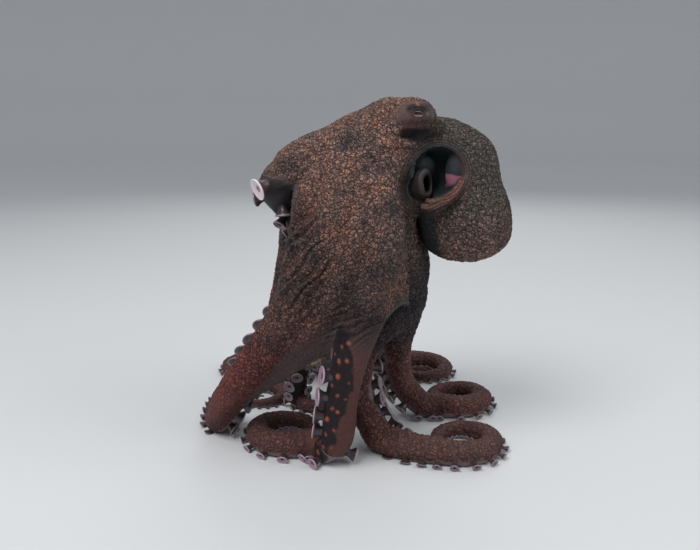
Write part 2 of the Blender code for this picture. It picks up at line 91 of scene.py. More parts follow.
# Each arm: place on the crown (degrees), the points its centre line passes, its roll on the floor
# (centre, radii, entry angle in degrees, way round), length, and the way its back faces at shares
# of its length.
ARMS = {
    "l1": (22.5, [(-34, -15, 299), (-52, -15, 288), (-66, -9, 274), (-65, 9, 259),
                  (-44, 25, 237), (-32, 50, 192), (-40, 76, 128), (-58, 94, 62)],
           ((-24, 118), 38, 7, -170, 1), 500,
           [(0, (-0.8, -0.3, 0.6)), (0.10, (-0.1, 0.1, 0.95)), (0.15, (0.35, 0.35, 0.8)),
            (0.20, (0.8, 0.35, 0.35)), (0.25, (0.5, -0.5, 0.6)), (0.33, (-0.7, -0.5, 0.4)),
            (0.46, (-0.9, 0.1, 0.3)), (0.56, (-0.9, -0.2, 0.3)), (0.68, (0, 0, 1))]),
    "l2": (67.5, [(-17, -50, 245), (-43, -51, 182), (-82, -30, 118), (-116, -2, 68),
                  (-138, 30, 26), (-146, 64, 0)],
           ((-108, 128), 42, 7, 190, -1), 650,
           [(0, (-0.4, -0.9, 0.3)), (0.2, (-0.1, -0.9, 0.4)), (0.4, (0.1, -0.92, 0.3)),
            (0.52, (-0.4, -0.7, 0.6)), (0.62, (0, 0, 1))]),
    "l3": (112.5, [(31, -50, 236), (21, -55, 180), (3, -53, 126), (-8, -48, 72), (-14, -40, 28)],
           ((-62, 24), 43, 8, -60, -1), 570,
           [(0, (0.3, -0.9, 0.2)), (0.27, (0.6, -0.75, 0.15)), (0.36, (0.95, -0.3, 0.1)),
            (0.44, (0.6, -0.7, 0.3)), (0.54, (0, 0, 1))]),
    "l4": (157.5, [(48, -15, 230), (54, -12, 190), (58, -6, 160), (38, -10, 141), (16, -2, 118),
                   (6, 10, 80), (18, 4, 36), (48, -18, 0)],
           ((112, 4), 40, 7, -110, 1), 600,
           [(0, (0.8, -0.3, -0.4)), (0.16, (0.95, -0.3, 0.1)), (0.24, (0.9, -0.4, -0.2)),
            (0.32, (0.1, -0.6, -0.7)), (0.42, (-0.9, -0.3, -0.1)), (0.52, (-0.5, -0.4, 0.6)),
            (0.62, (0, 0, 1))]),
    "r4": (-157.5, [(54, 24, 228), (66, 39, 190), (63, 43, 155), (50, 25, 121), (50, 44, 86),
                    (60, 74, 44)],
           ((122, 118), 40, 7, -120, 1), 570,
           [(0, (0.8, 0.3, -0.4)), (0.18, (1, 0, 0.1)), (0.3, (0.6, -0.6, 0.4)),
            (0.42, (0.7, -0.5, 0.5)), (0.56, (0, 0, 1))]),
    "r3": (-112.5, [(42, 62, 236), (58, 98, 178), (58, 132, 112), (48, 160, 50)],
           ((96, 216), 42, 7, -160, -1), 600,
           [(0, (0.3, 0.9, 0.2)), (0.15, (0.75, 0.65, 0.2)), (0.3, (0.8, 0.6, 0.3)),
            (0.44, (0.4, 0.6, 0.7)), (0.56, (0, 0, 1))]),
    "r2": (-67.5, [(4, 66, 258), (-4, 112, 196), (-16, 152, 124), (-26, 184, 56)],
           ((-8, 258), 40, 7, -170, -1), 630,
           [(0, (-0.3, 0.9, 0.3)), (0.3, (-0.1, 0.85, 0.5)), (0.44, (0, 0.7, 0.7)),
            (0.58, (0, 0, 1))]),
    "r1": (-22.5, [(-38, 34, 287), (-55, 72, 243), (-63, 105, 192), (-76, 134, 136),
                   (-94, 164, 64)],
           ((-134, 226), 42, 7, -30, 1), 640,
           [(0, (-0.7, 0.4, 0.6)), (0.3, (-0.75, 0.55, 0.4)), (0.48, (-0.5, 0.4, 0.8)),
            (0.58, (0, 0, 1))]),
}

# Webs: the two arms, how far along each the web reaches, its edge's dip and its bulge.
WEBS = [
    ("l1", "l2", 58, 172, 0.16, 14),
    ("l2", "l3", 316, 182, 0.05, 12),
    ("l3", "l4", 156, 118, 0.10, 5),
    ("l4", "r4", 118, 118, 0.15, 3),
    ("r4", "r3", 125, 160, 0.12, 6),
    ("r3", "r2", 200, 215, 0.22, 8),
    ("r2", "r1", 215, 200, 0.22, 8),
    ("r1", "l1", 150, 70, 0.20, 4),
]
WEB_THICKNESS = 4
WEB_LIFT = 0.5
WEB_START = 6
WEB_INSET = 4
WEB_BEND_AT = 28

# Mantle: centre x and z, half-thickness across the bend, half-depth along Y, spine x and z.
MANTLE = [
    (62, 306, 25, 26, 0.95, -0.30), (84, 300, 31.5, 37, 0.90, -0.45),
    (101, 284, 38, 44, 0.60, -0.80), (105, 265, 38, 46, 0.25, -0.97),
    (107, 248, 43.5, 47, 0.10, -1.00), (109.5, 231, 44.5, 48, 0.02, -1.00),
    (110, 215, 41, 42, 0.00, -1.00), (106.5, 204, 32.5, 33, -0.05, -1.00),
    (106, 197, 19, 20, -0.05, -1.00),
]
# Head: height above the crown, half-widths (dorsal-ventral, left-right) and shift towards +X.
HEAD_ROOT = [(-16, 30, 30, -4), (-8, 40, 40, -2)]
HEAD = [
    (0.3, 46, 46, 0), (14, 44, 45, 3), (28, 36, 42, 8),
    (38, 32, 38, 12), (46, 23, 30, 14), (51, 11, 16, 15.5),
]
# Flesh that fills the line from the head's top to the bend of arm l1: centres and radii.
CREST = [(8, -2, 306, 23), (-12, -4, 299.5, 21.5), (-30, -7, 295.5, 19.5),
         (-46, -11, 289, 17.5)]

# What both sides have alike, given for the left: centre and radii.
COLLAR = (78, -22, 279), (27.5, 24, 27.5)
POCKET = ((79, -42, 282), (21.8, 34, 21.8)), ((65, -40, 267), (12.5, 24, 13.5))
FILLET = (66, -8, 252), (9, 14, 13)
FLAP = (68, -25, 286), (9.5, 9, 11)
GILL = (97.5, -25, 281), (11, 13, 21)
MOUND = (55.3, -30, 328.2), (19.5, 17, 16.5)
# The opening's raised double lip: its line, and its radius where it starts and ends.
LIPS = [
    ([(65, -43, 252), (72, -46, 251.5), (81, -48, 255), (89, -48.5, 260.5), (96, -47, 268),
      (100, -44, 277)], 3.3, 1.5),
    ([(68, -45, 257.5), (75, -47, 257), (83, -48, 260.5), (91, -47.5, 267), (97, -45, 275)],
     1.9, 1),
]
# The crease under the eye mound.
CREASE = [(49, -42, 315.5), (56, -44.5, 313.5), (64, -45.5, 312.5), (73, -43, 314),
          (80, -38, 317)]
CREASE_RADII = (5, 3.6, 2.6)
# Over how many millimetres each joint between shapes is rounded.
WEB_BLEND, HEAD_BLEND, CREST_BLEND, MOUND_BLEND = 7.5, 8, 9, 16
LIP_BLEND, CREASE_BLEND = 3, 5

EYE = np.array([54.5, -31, 325.5])
EYE_AXIS = np.array([0.25, -0.88, 0.40])
EYE_RADIUS = 11.5
EYE_SINK = 0.8
SLIT = (4.05, 1.4)
PUPIL_DEPTH, IRIS_RELIEF, HIDDEN_SHRINK = 0.035, 0.004, 0.22
# The opening in the lids: half-width, half-height above and below. Then the patch round it.
LID_OPENING = (4.7, 2.9, 3.1)
LID_POWER = 2.4
LID_PATCH = (14, 9.5)
LID_INSETS = (-0.9, -0.55, -0.2, 0.15, 0.55)
LID_DROPS = (1, 0.62, 0.32, 0.12, 0.02)
LID_RINGS = 59
LID_LIFT = 0.6
# Where the skin is looked for over the eye's middle, and the lids' rounded lip and tucked edge.
LID_SEARCH = (2, 26)
LID_HALVINGS = 22
LID_LIP = 0.30
LID_LIP_RINGS = 7
LID_TUCK = 2.4
# How far the coarse skin sinks under the patch, and further over the eyeball.
PATCH_SINK = 1.4
EYE_WELL = 4

FUNNEL_MOUTH = np.array([68, -38, 272])
FUNNEL_AXIS = np.array([0.30, -0.94, 0.10])
# Siphon: setback from the mouth, half-widths across and up, shift to the right, and darkness of the
# painted shade inside the bore.
FUNNEL = [
    (30, 10.6, 15, 0, 0), (24, 10.2, 14.8, 0, 0), (16, 9.6, 14.3, 0, 0),
    (9, 9.3, 13.9, 0, 0), (4, 9.1, 13.7, 0, 0), (1.6, 8.6, 13.2, 0, 0),
    (0.2, 7.8, 12.3, 0.1, 0), (-0.5, 6.8, 11, 0.4, 0.1), (-0.4, 5.8, 9.7, 0.8, 0.1),
    (0.6, 4.9, 8.5, 1.2, 0.2), (2.6, 4.1, 7.5, 1.5, 0.4), (7, 3.6, 6.8, 1.7, 0.7),
    (14, 3, 5.8, 1.7, 0.9), (18, 0.2, 0.4, 1.7, 1),
]

TAG_HEAD, TAG_MANTLE, TAG_ARM, TAG_WEB = 1, 2, 10, 30
TAG_POCKET, TAG_EYE, TAG_GILL, TAG_LIP = 50, 51, 52, 53


# ---- small maths


def unit(v):
    v = np.asarray(v, float)
    return v / np.linalg.norm(v, axis=-1, keepdims=True)


def smooth(x, low=0, high=1):
    t = np.clip((x - low) / (high - low), 0, 1)
    return t * t * (3 - 2 * t)


def fall(x, low, high):
    return 1 - smooth(x, low, high)


def band(x, start, full, waning, end):
    """1 from full to waning, and 0 before start and after end."""
    return smooth(x, start, full) * fall(x, waning, end)


def ridge(distance, width):
    return np.exp(-(distance / width) ** 2)


def waves(turns, shake=0):
    return np.sin(TAU * turns + shake)


def blob(points, centre, radii, soft=0.35):
    away = np.sqrt((((points - np.asarray(centre)) / np.asarray(radii)) ** 2).sum(1))
    return fall(away, 1 - soft, 1 + soft)


def mix(a, b, share):
    share = np.asarray(share)[:, None]
    return a * (1 - share) + b * share


def world(points):
    return (np.asarray(points, float) + SHIFT) * MM


def dots(a, b):
    return (a * b).sum(axis=-1, keepdims=True)


def turns(count):
    """Angles evenly round a circle."""
    return TAU * np.arange(count) / count


def in_plane(x, z):
    """Points or directions in the middle plane, where Y is 0."""
    return np.stack([x, 0 * x, z], -1)


def linear(*rgb):
    """An sRGB colour (0 to 255) as linear light."""
    c = np.asarray(rgb, float) / 255
    return np.where(c <= 0.04045, c / 12.92, ((c + 0.055) / 1.055) ** 2.4)


def lattice_corners(cell, f):
    """The eight corners of each point's cell, with its share of each in the plane and in height."""
    for dx, dy, dz in itertools.product((0, 1), repeat=3):
        flat = (f[:, 0] if dx else 1 - f[:, 0]) * (f[:, 1] if dy else 1 - f[:, 1])
        yield cell + (dx, dy, dz), flat, f[:, 2] if dz else 1 - f[:, 2]


def lattice_noise(points, size, seed):
    """Smooth value noise, -1 to 1, with features about this many millimetres across."""
    table = np.random.default_rng(seed).uniform(-1, 1, 4096)
    p = np.asarray(points, float) / size + 100
    cell = np.floor(p).astype(np.int64)
    f = p - cell
    f = f * f * f * (f * (f * 6 - 15) + 10)
    total = 0
    for corner, flat, tall in lattice_corners(cell, f):
        key = np.bitwise_xor.reduce(corner * (73856093, 19349663, 83492791), axis=1)
        total = total + table[key % 4096] * flat * tall
    return total


def spline(rows, count):
    """Smooth rows of numbers read evenly along a table."""
    rows = np.asarray(rows, float)
    t = np.linspace(0, len(rows) - 1, count)
    i = np.clip(t.astype(int), 0, len(rows) - 2)
    f = (t - i)[:, None]
    a, b = rows[i], rows[i + 1]
    slope_a = (b - rows[np.maximum(i - 1, 0)]) / 2
    slope_b = (rows[np.minimum(i + 2, len(rows) - 1)] - a) / 2
    return ((2 * f ** 3 - 3 * f ** 2 + 1) * a + (f ** 3 - 2 * f ** 2 + f) * slope_a
            + (3 * f ** 2 - 2 * f ** 3) * b + (f ** 3 - f ** 2) * slope_b)


def nearest(points, targets):
    """The index of the target nearest to each point, found in blocks that fit in memory."""
    best = np.empty(len(points), int)
    for start in range(0, len(points), BLOCK):
        block = points[start:start + BLOCK]
        apart = (targets ** 2).sum(1) - 2 * block @ targets.T
        best[start:start + BLOCK] = apart.argmin(1)
    return best


# ---- arms and webs


def half_width(t):
    t = np.clip(t, 0, 1)
    base = BASE_SQUEEZE + (1 - BASE_SQUEEZE) * smooth(t / SQUEEZE_SHARE)
    return ARM_HALF_WIDTH * base * (1 - t) ** 0.8 * (1 + 0.9 * t) + TIP_HALF_WIDTH


def roll_point(centre, radius, angle):
    x, y = centre
    return np.array([x + radius * math.cos(angle), y + radius * math.sin(angle), 0])


def catmull_rom(points, beyond, steps=16):
    """A centripetal curve through the points, heading for the one beyond."""
    points = [np.asarray(p, float) for p in points]
    padded = [2 * points[0] - points[1]] + points + [beyond]
    curve = []
    for run in zip(padded, padded[1:], padded[2:], padded[3:]):
        knots = [0]
        for p, q in zip(run, run[1:]):
            knots.append(knots[-1] + math.sqrt(np.linalg.norm(q - p)))
        for t in np.linspace(knots[1], knots[2], steps, endpoint=False):
            level = run
            for spans in CURVE_SPANS:
                level = [(knots[j] - t) / (knots[j] - knots[i]) * p
                         + (t - knots[i]) / (knots[j] - knots[i]) * q
                         for (i, j), p, q in zip(spans, level, level[1:])]
            curve.append(level[0])
    curve.append(points[-1])
    return np.array(curve)


def steps_of(route):
    return np.linalg.norm(np.diff(route, axis=0), axis=1)


class Arm:
    """An arm's centre line and frame, read at distances from the crown."""

    def __init__(self, place, way, roll, length, back):
        angle = math.radians(place)
        outward = DORSAL * math.cos(angle) + LEFT * math.sin(angle)
        start = CROWN + CROWN_RADIUS * outward
        self.length, self.back = length, back
        centre, radius_1, radius_2, degrees, turn = roll
        angle = math.radians(degrees)
        entry = roll_point(centre, radius_1, angle)
        beyond = roll_point(centre, radius_1, angle + ROLL_LEAD * turn)
        leaving = unit(ORAL + outward * START_SPREAD)
        route = catmull_rom([start, start + leaving * START_LENGTH] + way + [entry], beyond)
        left = length - steps_of(route).sum()
        whole = left / (radius_2 + (radius_1 - radius_2) * ROLL_MEAN)
        rolled = []
        for share in np.linspace(0, 1, 100)[1:]:
            radius = radius_1 - (radius_1 - radius_2) * share ** ROLL_POWER
            rolled.append(roll_point(centre, radius, angle + turn * whole * share))
        route = np.concatenate([route, rolled])
        self.at = np.concatenate([[0], np.cumsum(steps_of(route))])
        rest = half_width(self.at / length) * ORAL_DEPTH - FLAT_DEPTH
        above = np.maximum(route[:, 2] - rest, 0)
        route[:, 2] = rest + np.sqrt(above ** 2 + FLOOR_EASE ** 2) - FLOOR_EASE
        self.curve = route

    def point(self, s):
        return np.stack([np.interp(s, self.at, self.curve[:, k]) for k in range(3)], axis=-1)

    def frame(self, s):
        """(centre, along, across, back) at these distances."""
        s = np.asarray(s, float)
        along = unit(self.point(s + 3) - self.point(np.maximum(s - 3, 0)))
        shares, facings = zip(*self.back)
        facing = np.stack([np.interp(s / self.length, shares, k) for k in zip(*facings)], axis=-1)
        back = unit(facing - along * dots(facing, along))
        return self.point(s), along, np.cross(back, along), back

    def width(self, s):
        return half_width(np.asarray(s, float) / self.length)

    def flank(self, s, neighbour):
        """Points inside the arm's side towards its neighbour, where a web starts."""
        centre, along, across, back = self.frame(s)
        towards = neighbour - centre
        towards = unit(towards - along * dots(towards, along))
        facing = unit(towards + back * WEB_LIFT)
        reach = np.hypot(1.03 * dots(facing, across), 0.97 * dots(facing, back))
        return centre + facing * (self.width(s)[:, None] * reach) - facing * WEB_INSET


def arm_rings(arm, sides=40):
    s = np.concatenate([np.arange(0, arm.length - 1, 2), [arm.length - 0.5]])
    centre, along, across, back = arm.frame(s)
    width = arm.width(s)[:, None, None]
    cos, sin = np.cos(turns(sides)), np.sin(turns(sides))
    x = np.sign(cos) * np.abs(cos) ** SECTION_POWER * SECTION_WIDTH
    tall = np.where(sin > 0, ABORAL_HEIGHT, ORAL_DEPTH)
    y = np.sign(sin) * np.abs(sin) ** SECTION_POWER * tall
    y = y + np.where(sin < 0, ORAL_GROOVE * ridge(x, 0.25), 0)
    rings = centre[:, None] + width * (across[:, None] * x[:, None] + back[:, None] * y[:, None])
    inward = rings[0] - along[0] * np.array(ARM_ROOTS)[:, None, None]
    return np.concatenate([inward, rings])


def web_surface(one, other, reach_1, reach_2, dip, bulge, rows=70, columns=26):
    """Middle surface of a web, (rows, columns, 3), from inside one arm to inside the next."""
    first, second = arms[one], arms[other]
    u = np.linspace(0, 1, rows)
    bend = unit(first.frame([WEB_BEND_AT])[3][0] + second.frame([WEB_BEND_AT])[3][0])
    grid = np.zeros((rows, columns, 3))
    for j, across in enumerate(np.linspace(0, 1, columns)):
        here = u * (1 - dip * 4 * across * (1 - across))
        s_1 = WEB_START + (reach_1 - WEB_START) * here
        s_2 = WEB_START + (reach_2 - WEB_START) * here
        point_1 = first.flank(s_1, second.point(s_2))
        point_2 = second.flank(s_2, first.point(s_1))
        full = math.sin(math.pi * across) * np.sin(math.pi * np.minimum(here, 0.8))
        grid[:, j] = point_1 * (1 - across) + point_2 * across + bend * bulge * full[:, None]
    return grid


def sheet_normals(grid):
    normal = np.cross(np.gradient(grid, axis=0), np.gradient(grid, axis=1))
    return normal / np.maximum(np.linalg.norm(normal, axis=2, keepdims=True), 1e-9)


def slab(grid, half):
    """A closed slab about a grid of points, as (points, quads). half is its half-thickness."""
    rows, columns = grid.shape[:2]
    normal = sheet_normals(grid) * half
    points = np.concatenate([(grid + normal).reshape(-1, 3), (grid - normal).reshape(-1, 3)])
    index = np.arange(rows * columns).reshape(rows, columns)
    top = np.stack([index[:-1, :-1], index[:-1, 1:], index[1:, 1:], index[1:, :-1]], -1)
    top = top.reshape(-1, 4)
    bottom = top[:, ::-1] + rows * columns
    rim = np.concatenate([index[0, :], index[1:, -1], index[-1, -2::-1], index[-2:0:-1, 0]])
    after = np.roll(rim, -1)
    sides = np.stack([after, rim, rim + rows * columns, after + rows * columns], -1)
    return points, np.concatenate([top, bottom, sides])


def ring_quads(count, sides, corners="abdc"):
    """Quads between rings of points: a and b are neighbours on one ring, c and d on the next."""
    a = np.arange(count * sides).reshape(count, sides)
    b = np.roll(a, -1, axis=1)
    named = {"a": a[:-1], "b": b[:-1], "c": a[1:], "d": b[1:]}
    return np.stack([named[corner] for corner in corners], -1).reshape(-1, 4)


def loft(rings):
    """A closed loft, as (points, quads, triangles)."""
    count, sides = rings.shape[:2]
    ends = rings[0].mean(0)[None], rings[-1].mean(0)[None]
    low, high = np.arange(sides), np.arange(sides) + (count - 1) * sides
    low = np.stack([np.roll(low, -1), low, np.full(sides, count * sides)], -1)
    high = np.stack([high, np.roll(high, -1), np.full(sides, count * sides + 1)], -1)
    return (np.concatenate([rings.reshape(-1, 3), *ends]), ring_quads(count, sides),
            np.concatenate([low, high]))


def ball(centre, radii, axes=UPRIGHT, rings=40, sides=64):
    tilt = np.linspace(0.02, math.pi - 0.02, rings)[:, None]
    turn = turns(sides)
    unit_ball = np.stack([np.sin(tilt) * np.cos(turn), np.sin(tilt) * np.sin(turn),
                          np.repeat(np.cos(tilt), sides, 1)], -1)
    return loft(centre + (unit_ball * np.asarray(radii)) @ axes)


def ellipses(centres, first, wide, deep, sides):
    """Rings about the centres: half-widths wide along first and deep along LEFT."""
    cos, sin = np.cos(turns(sides))[:, None], np.sin(turns(sides))[:, None]
    wide, deep = wide[:, None, None], deep[:, None, None]
    return centres[:, None] + (first * cos * wide + LEFT * sin * deep)


def head_rings():
    height, thick, wide, shift = np.concatenate([HEAD_ROOT, spline(HEAD, 46)]).T
    centres = CROWN - ORAL * height[:, None] + in_plane(shift, 0 * shift)
    return ellipses(centres, DORSAL, thick, wide, 96)


def mantle_rings():
    x, z, thick, wide, spine_x, spine_z = spline(MANTLE, 90).T
    first = np.cross(LEFT, unit(in_plane(spine_x, spine_z)))
    return ellipses(in_plane(x, z), first[:, None], thick, wide, 120)


# ---- the field


class Field:
    """Signed distance on one lattice, with the tag of the shape that is nearest."""

    def __init__(self):
        low, high = FIELD_BOX
        self.base = np.floor(np.asarray(low) / VOXEL).astype(int)
        shape = np.ceil(np.asarray(high) / VOXEL).astype(int) - self.base + 1
        self.phi = np.full(shape, FAR, np.float32)
        self.tag = np.zeros(shape, np.uint8)

    def level_set(self, points, quads, triangles=()):
        """A closed mesh's distances, and where on the lattice they lie."""
        transform = openvdb.createLinearTransform(voxelSize=VOXEL)
        grid = openvdb.FloatGrid.createLevelSetFromPolygons(
            np.ascontiguousarray(points, np.float32),
            np.array(triangles, np.uint32).reshape(-1, 3),
            np.ascontiguousarray(quads, np.uint32), transform, BAND)
        low, high = grid.evalActiveVoxelBoundingBox()
        low = np.maximum(np.array(low), self.base)
        high = np.minimum(np.array(high), self.base + self.phi.shape - 1)
        found = np.empty(high - low + 1, np.float32)
        grid.copyToArray(found, ijk=tuple(int(v) for v in low))
        first = low - self.base
        return found, tuple(slice(a, a + n) for a, n in zip(first, found.shape))

    def places(self, where):
        """The x, y and z of part of the lattice, shaped to broadcast together."""
        spans = [VOXEL * (np.arange(s.start, s.stop) + self.base[k]) for k, s in enumerate(where)]
        return np.ix_(*spans)

    def join(self, shape, tag, soft):
        """Adds a shape, rounding the crease over soft mm (a number or a function of height)."""
        if isinstance(shape, Field):
            found, where = shape.phi, tuple(slice(0, n) for n in self.phi.shape)
        else:
            found, where = self.level_set(*shape)
        blend = soft(self.places(where)[2]) if callable(soft) else soft
        blend = np.maximum(np.asarray(blend, np.float32), 1e-3)
        old = self.phi[where]
        self.tag[where] = np.where(found < old, np.uint8(tag), self.tag[where])
        h = np.maximum(blend - np.abs(found - old), 0) / blend
        self.phi[where] = np.minimum(found, old) - h * h * blend * 0.25

    def cut(self, shape, tag, soft):
        found, where = self.level_set(*shape)
        old = self.phi[where]
        self.tag[where] = np.where(-found > old - 0.7 * VOXEL, np.uint8(tag), self.tag[where])
        h = np.maximum(soft - np.abs(found + old), 0) / soft
        self.phi[where] = np.maximum(-found, old) + h * h * soft * 0.25

    def mesh(self):
        grid = openvdb.FloatGrid(FAR)
        grid.transform = openvdb.createLinearTransform(voxelSize=VOXEL)
        grid.copyFromArray(self.phi, ijk=tuple(int(v) for v in self.base))
        points, quads = grid.convertToQuads(isovalue=0)
        return np.asarray(points, float), np.asarray(quads)

    def tags_at(self, points):
        index = np.rint(points / VOXEL).astype(int) - self.base
        index = np.clip(index, 0, np.array(self.phi.shape) - 1)
        return self.tag[index[:, 0], index[:, 1], index[:, 2]]

    def sample(self, points):
        """The field's value between lattice points."""
        at = points / VOXEL - self.base
        cell = np.clip(np.floor(at).astype(int), 0, np.array(self.phi.shape) - 2)
        return sum(flat * tall * self.phi[tuple(corner.T)]
                   for corner, flat, tall in lattice_corners(cell, at - cell))


def eye_axes(side):
    out = unit(EYE_AXIS * (1, side, 1))
    long_way = unit(np.cross(out, (0, 0, 1)))
    return np.stack([long_way, np.cross(out, long_way), out])


def eye_frame(side):
    """An eye's directions: across towards +X, up and out."""
    long_way, down, out = eye_axes(side)
    return -side * long_way, -down, out


def eye_places(points, side):
    """Points in an eye's own frame: across, up and out."""
    off = points - EYE * (1, side, 1)
    return [(off * axis).sum(1) for axis in eye_frame(side)]


def arm_blend(z):
    return 0.8 + 6 * smooth(z, 235, 285)


def mantle_blend(z):
    return 1 + 7 * smooth(z, 276, 300)


def body_field():
    """All the flesh: arms, webs, head, eye mounds and mantle, then its two openings."""
    field, trunk = Field(), Field()
    for n, arm in enumerate(arms.values()):
        field.join(loft(arm_rings(arm)), TAG_ARM + n, arm_blend)
    for n, grid in enumerate(web_grids):
        edge = smooth(np.linspace(0, 1, len(grid)), 0.8, 1)[:, None, None]
        field.join(slab(grid, 0.5 * WEB_THICKNESS * (1 - 0.3 * edge)), TAG_WEB + n, WEB_BLEND)
    field.join(loft(head_rings()), TAG_HEAD, HEAD_BLEND)
    for *centre, radius in CREST:
        field.join(ball(centre, (radius * 1.25, radius, radius)), TAG_HEAD, CREST_BLEND)
    for side in SIDES:
        mound = ball(MOUND[0] * np.array([1, side, 1]), MOUND[1], eye_axes(side))
        field.join(mound, TAG_EYE, MOUND_BLEND)
    trunk.join(loft(mantle_rings()), TAG_MANTLE, 0.5)
    for side in SIDES:
        collar = ball(COLLAR[0] * np.array([1, side, 1]), COLLAR[1])
        trunk.join(collar, TAG_MANTLE, HEAD_BLEND)
    field.join(trunk, TAG_MANTLE, mantle_blend)
    for side in SIDES:
        mirror = np.array([1, side, 1])
        for centre, radii in POCKET:
            field.cut(ball(centre * mirror, radii), TAG_POCKET, LIP_BLEND)
        for (centre, radii), tag, soft in (
                (FILLET, TAG_MANTLE, 5), (FLAP, TAG_POCKET, LIP_BLEND), (GILL, TAG_GILL, 4)):
            field.join(ball(centre * mirror, radii), tag, soft)
        for line, thick, thin in LIPS:
            radii = np.linspace(thick, thin, 30) * np.minimum(np.linspace(0.7, 2, 30), 1)
            for centre, radius in zip(spline(line, 30) * mirror, radii):
                bead = ball(centre, (radius,) * 3, UPRIGHT, 16, 24)
                field.join(bead, TAG_LIP, LIP_BLEND)
        for centre in spline(CREASE, 14) * mirror:
            field.cut(ball(centre, CREASE_RADII), TAG_HEAD, CREASE_BLEND)
    floor = VOXEL * (np.arange(field.phi.shape[2]) + field.base[2])
    field.phi = np.maximum(field.phi, -floor.astype(np.float32))
    return field


# ---- meshes


def mesh_object(name, points, quads, material):
    mesh = bpy.data.meshes.new(name)
    mesh.vertices.add(len(points))
    mesh.vertices.foreach_set("co", np.ascontiguousarray(points, np.float32).ravel())
    mesh.loops.add(quads.size)
    mesh.loops.foreach_set("vertex_index", np.ascontiguousarray(quads, np.int32).ravel())
    mesh.polygons.add(len(quads))
    starts = np.arange(0, quads.size, quads.shape[1], dtype=np.int32)
    mesh.polygons.foreach_set("loop_start", starts)
    mesh.update(calc_edges=True)
    mesh.validate()
    mesh.shade_smooth()
    mesh.materials.append(material)
    obj = bpy.data.objects.new(name, mesh)
    bpy.context.scene.collection.objects.link(obj)
    return obj


def set_float(mesh, name, values):
    made = mesh.attributes.new(name, "FLOAT", "POINT")
    made.data.foreach_set("value", np.ascontiguousarray(values, np.float32))


def set_zone(mesh, rgb):
    """The painted colour, which the materials read."""
    rgba = np.concatenate([rgb, np.ones((len(rgb), 1))], 1).astype(np.float32)
    mesh.attributes.new("zone", "FLOAT_COLOR", "POINT").data.foreach_set("color", rgba.ravel())


# ---- colours of the skin

UPPER = linear(120, 98, 90)
MIDDLE = linear(100, 79, 72)
LOWER = linear(98, 66, 62)
PATCH_GREY = linear(66, 66, 68)
PATCH_DARK = linear(50, 48, 52)
PATCH_WARM = linear(138, 98, 80)
DARK_WEB = linear(66, 54, 54)
BLUE_GREY = linear(80, 84, 86)
OLIVE = linear(88, 82, 72)
MANTLE_TOP = linear(84, 80, 74)
MANTLE_LOW = linear(122, 100, 92)
TEAL_SHADE = linear(26, 35, 39)
PALE_RIM = linear(92, 92, 86)
GREEN_RIM = linear(68, 71, 69)
YELLOW_RIM = linear(206, 176, 124)
PURPLE_DARK = linear(50, 46, 52)
KNOB_PINK = linear(150, 120, 124)
FAR_RED = linear(84, 60, 60)
RIDGE_RED = linear(116, 58, 52)
CURL_UNDER_SHADE = linear(32, 28, 31)
CURL_SHADE = linear(48, 44, 46)
UNDER_PALE = linear(140, 120, 122)
SMOOTH_RED = linear(84, 50, 45)
BLOTCH = linear(24, 20, 24)
SPOT = linear(160, 84, 68)
RIM_GREY = linear(62, 58, 58)
LIP_BROWN = linear(134, 92, 80)
LIP_RED = linear(84, 62, 57)
CAVITY_SHADE = linear(36, 42, 44)
FLAP_SHADE = linear(15, 20, 22)
GILL_GREY = linear(46, 49, 50)
PINK = linear(160, 98, 116)
NAPE_OLIVE = linear(62, 58, 52)
MOUND_RED = linear(66, 48, 46)
MOUND_LIGHT = linear(104, 78, 72)
MOUND_SHADE = linear(42, 38, 41)
MOUND_LOW = linear(56, 39, 37)
LID_GREY = linear(62, 50, 52)
BROW = linear(20, 17, 21)
STREAK = linear(186, 146, 124)
PALE_ORANGE = linear(198, 148, 112)
SHADOW = linear(10, 14, 16)
FLANK_GREY = linear(112, 116, 120)
IRIS_UPPER = linear(192, 152, 130)
IRIS_LOWER = linear(128, 88, 82)
PUPIL = linear(10, 10, 14)
SIPHON = linear(44, 38, 37)
SIPHON_BORE_SHADE = linear(12, 14, 15)
SIPHON_LIP = linear(54, 42, 40)
# What the whole paint is multiplied by, for a little of the water's cast.
CAST = (0.86, 0.92, 0.96)

# Sizes and seeds of the skin's broad, middle and fine noise.
NOISES = (46, 1), (18, 2), (6.5, 3)
# Wrinkles: direction in x and z, pitch, shake, centre, radii, height, and darkness of the painted
# shade in the troughs.
# They run down from the left margin of the tent, and by the ventral arms.
WRINKLES = [
    (0.77, -0.64, 8.5, 0.55, (-46, -60, 205), (26, 45, 48), 1.5, 0.5),
    (0.35, -0.94, 6.5, 0.5, (0, -66, 150), (26, 30, 16), 0.9, 0.4),
]
# Fine lines on the tent and on the low web: direction, pitch, shake, centre, radii, strength.
FINE_LINES = [
    (0.77, -0.64, 5.6, 0.7, (-44, -60, 202), (30, 45, 50), 0.8),
    (0.42, -0.91, 4.6, 0.6, (0, -62, 148), (34, 34, 20), 0.7),
]
# The painted shadow over dark skin in the crease under the eye mound: centre, radii, softness,
# strength.
EYE_SHADOWS = [
    ((62, -44, 314), (13.5, 30, 7), 0.35, 1),
    ((72, -42, 319), (8, 30, 8), 0.35, 1),
    ((54, -44, 314.5), (10, 30, 4.5), 0.5, 0.9),
]
# Arm l3's orange spots, in rows: pitch, angle from the arm's back, phase and size.
SPOT_ROWS = (15, 1.62, 0, 2.5), (17, 1.12, 0.5, 2.1), (31, 2, 0.3, 1.6)
# The middle of the mantle opening, and how far from the middle plane it begins.
OPENING_X, OPENING_Z, OPENING_Y = 80, 279, 22
HEAD_MIDDLE = 8


# In the painters below, s is how far along an arm a point is, edge how far in from a web's rim,
# away how far out from the mantle opening, and across and up are places about the eye, all in
# millimetres. The limits in smooth, fall and band say where a mark starts and where it is full.


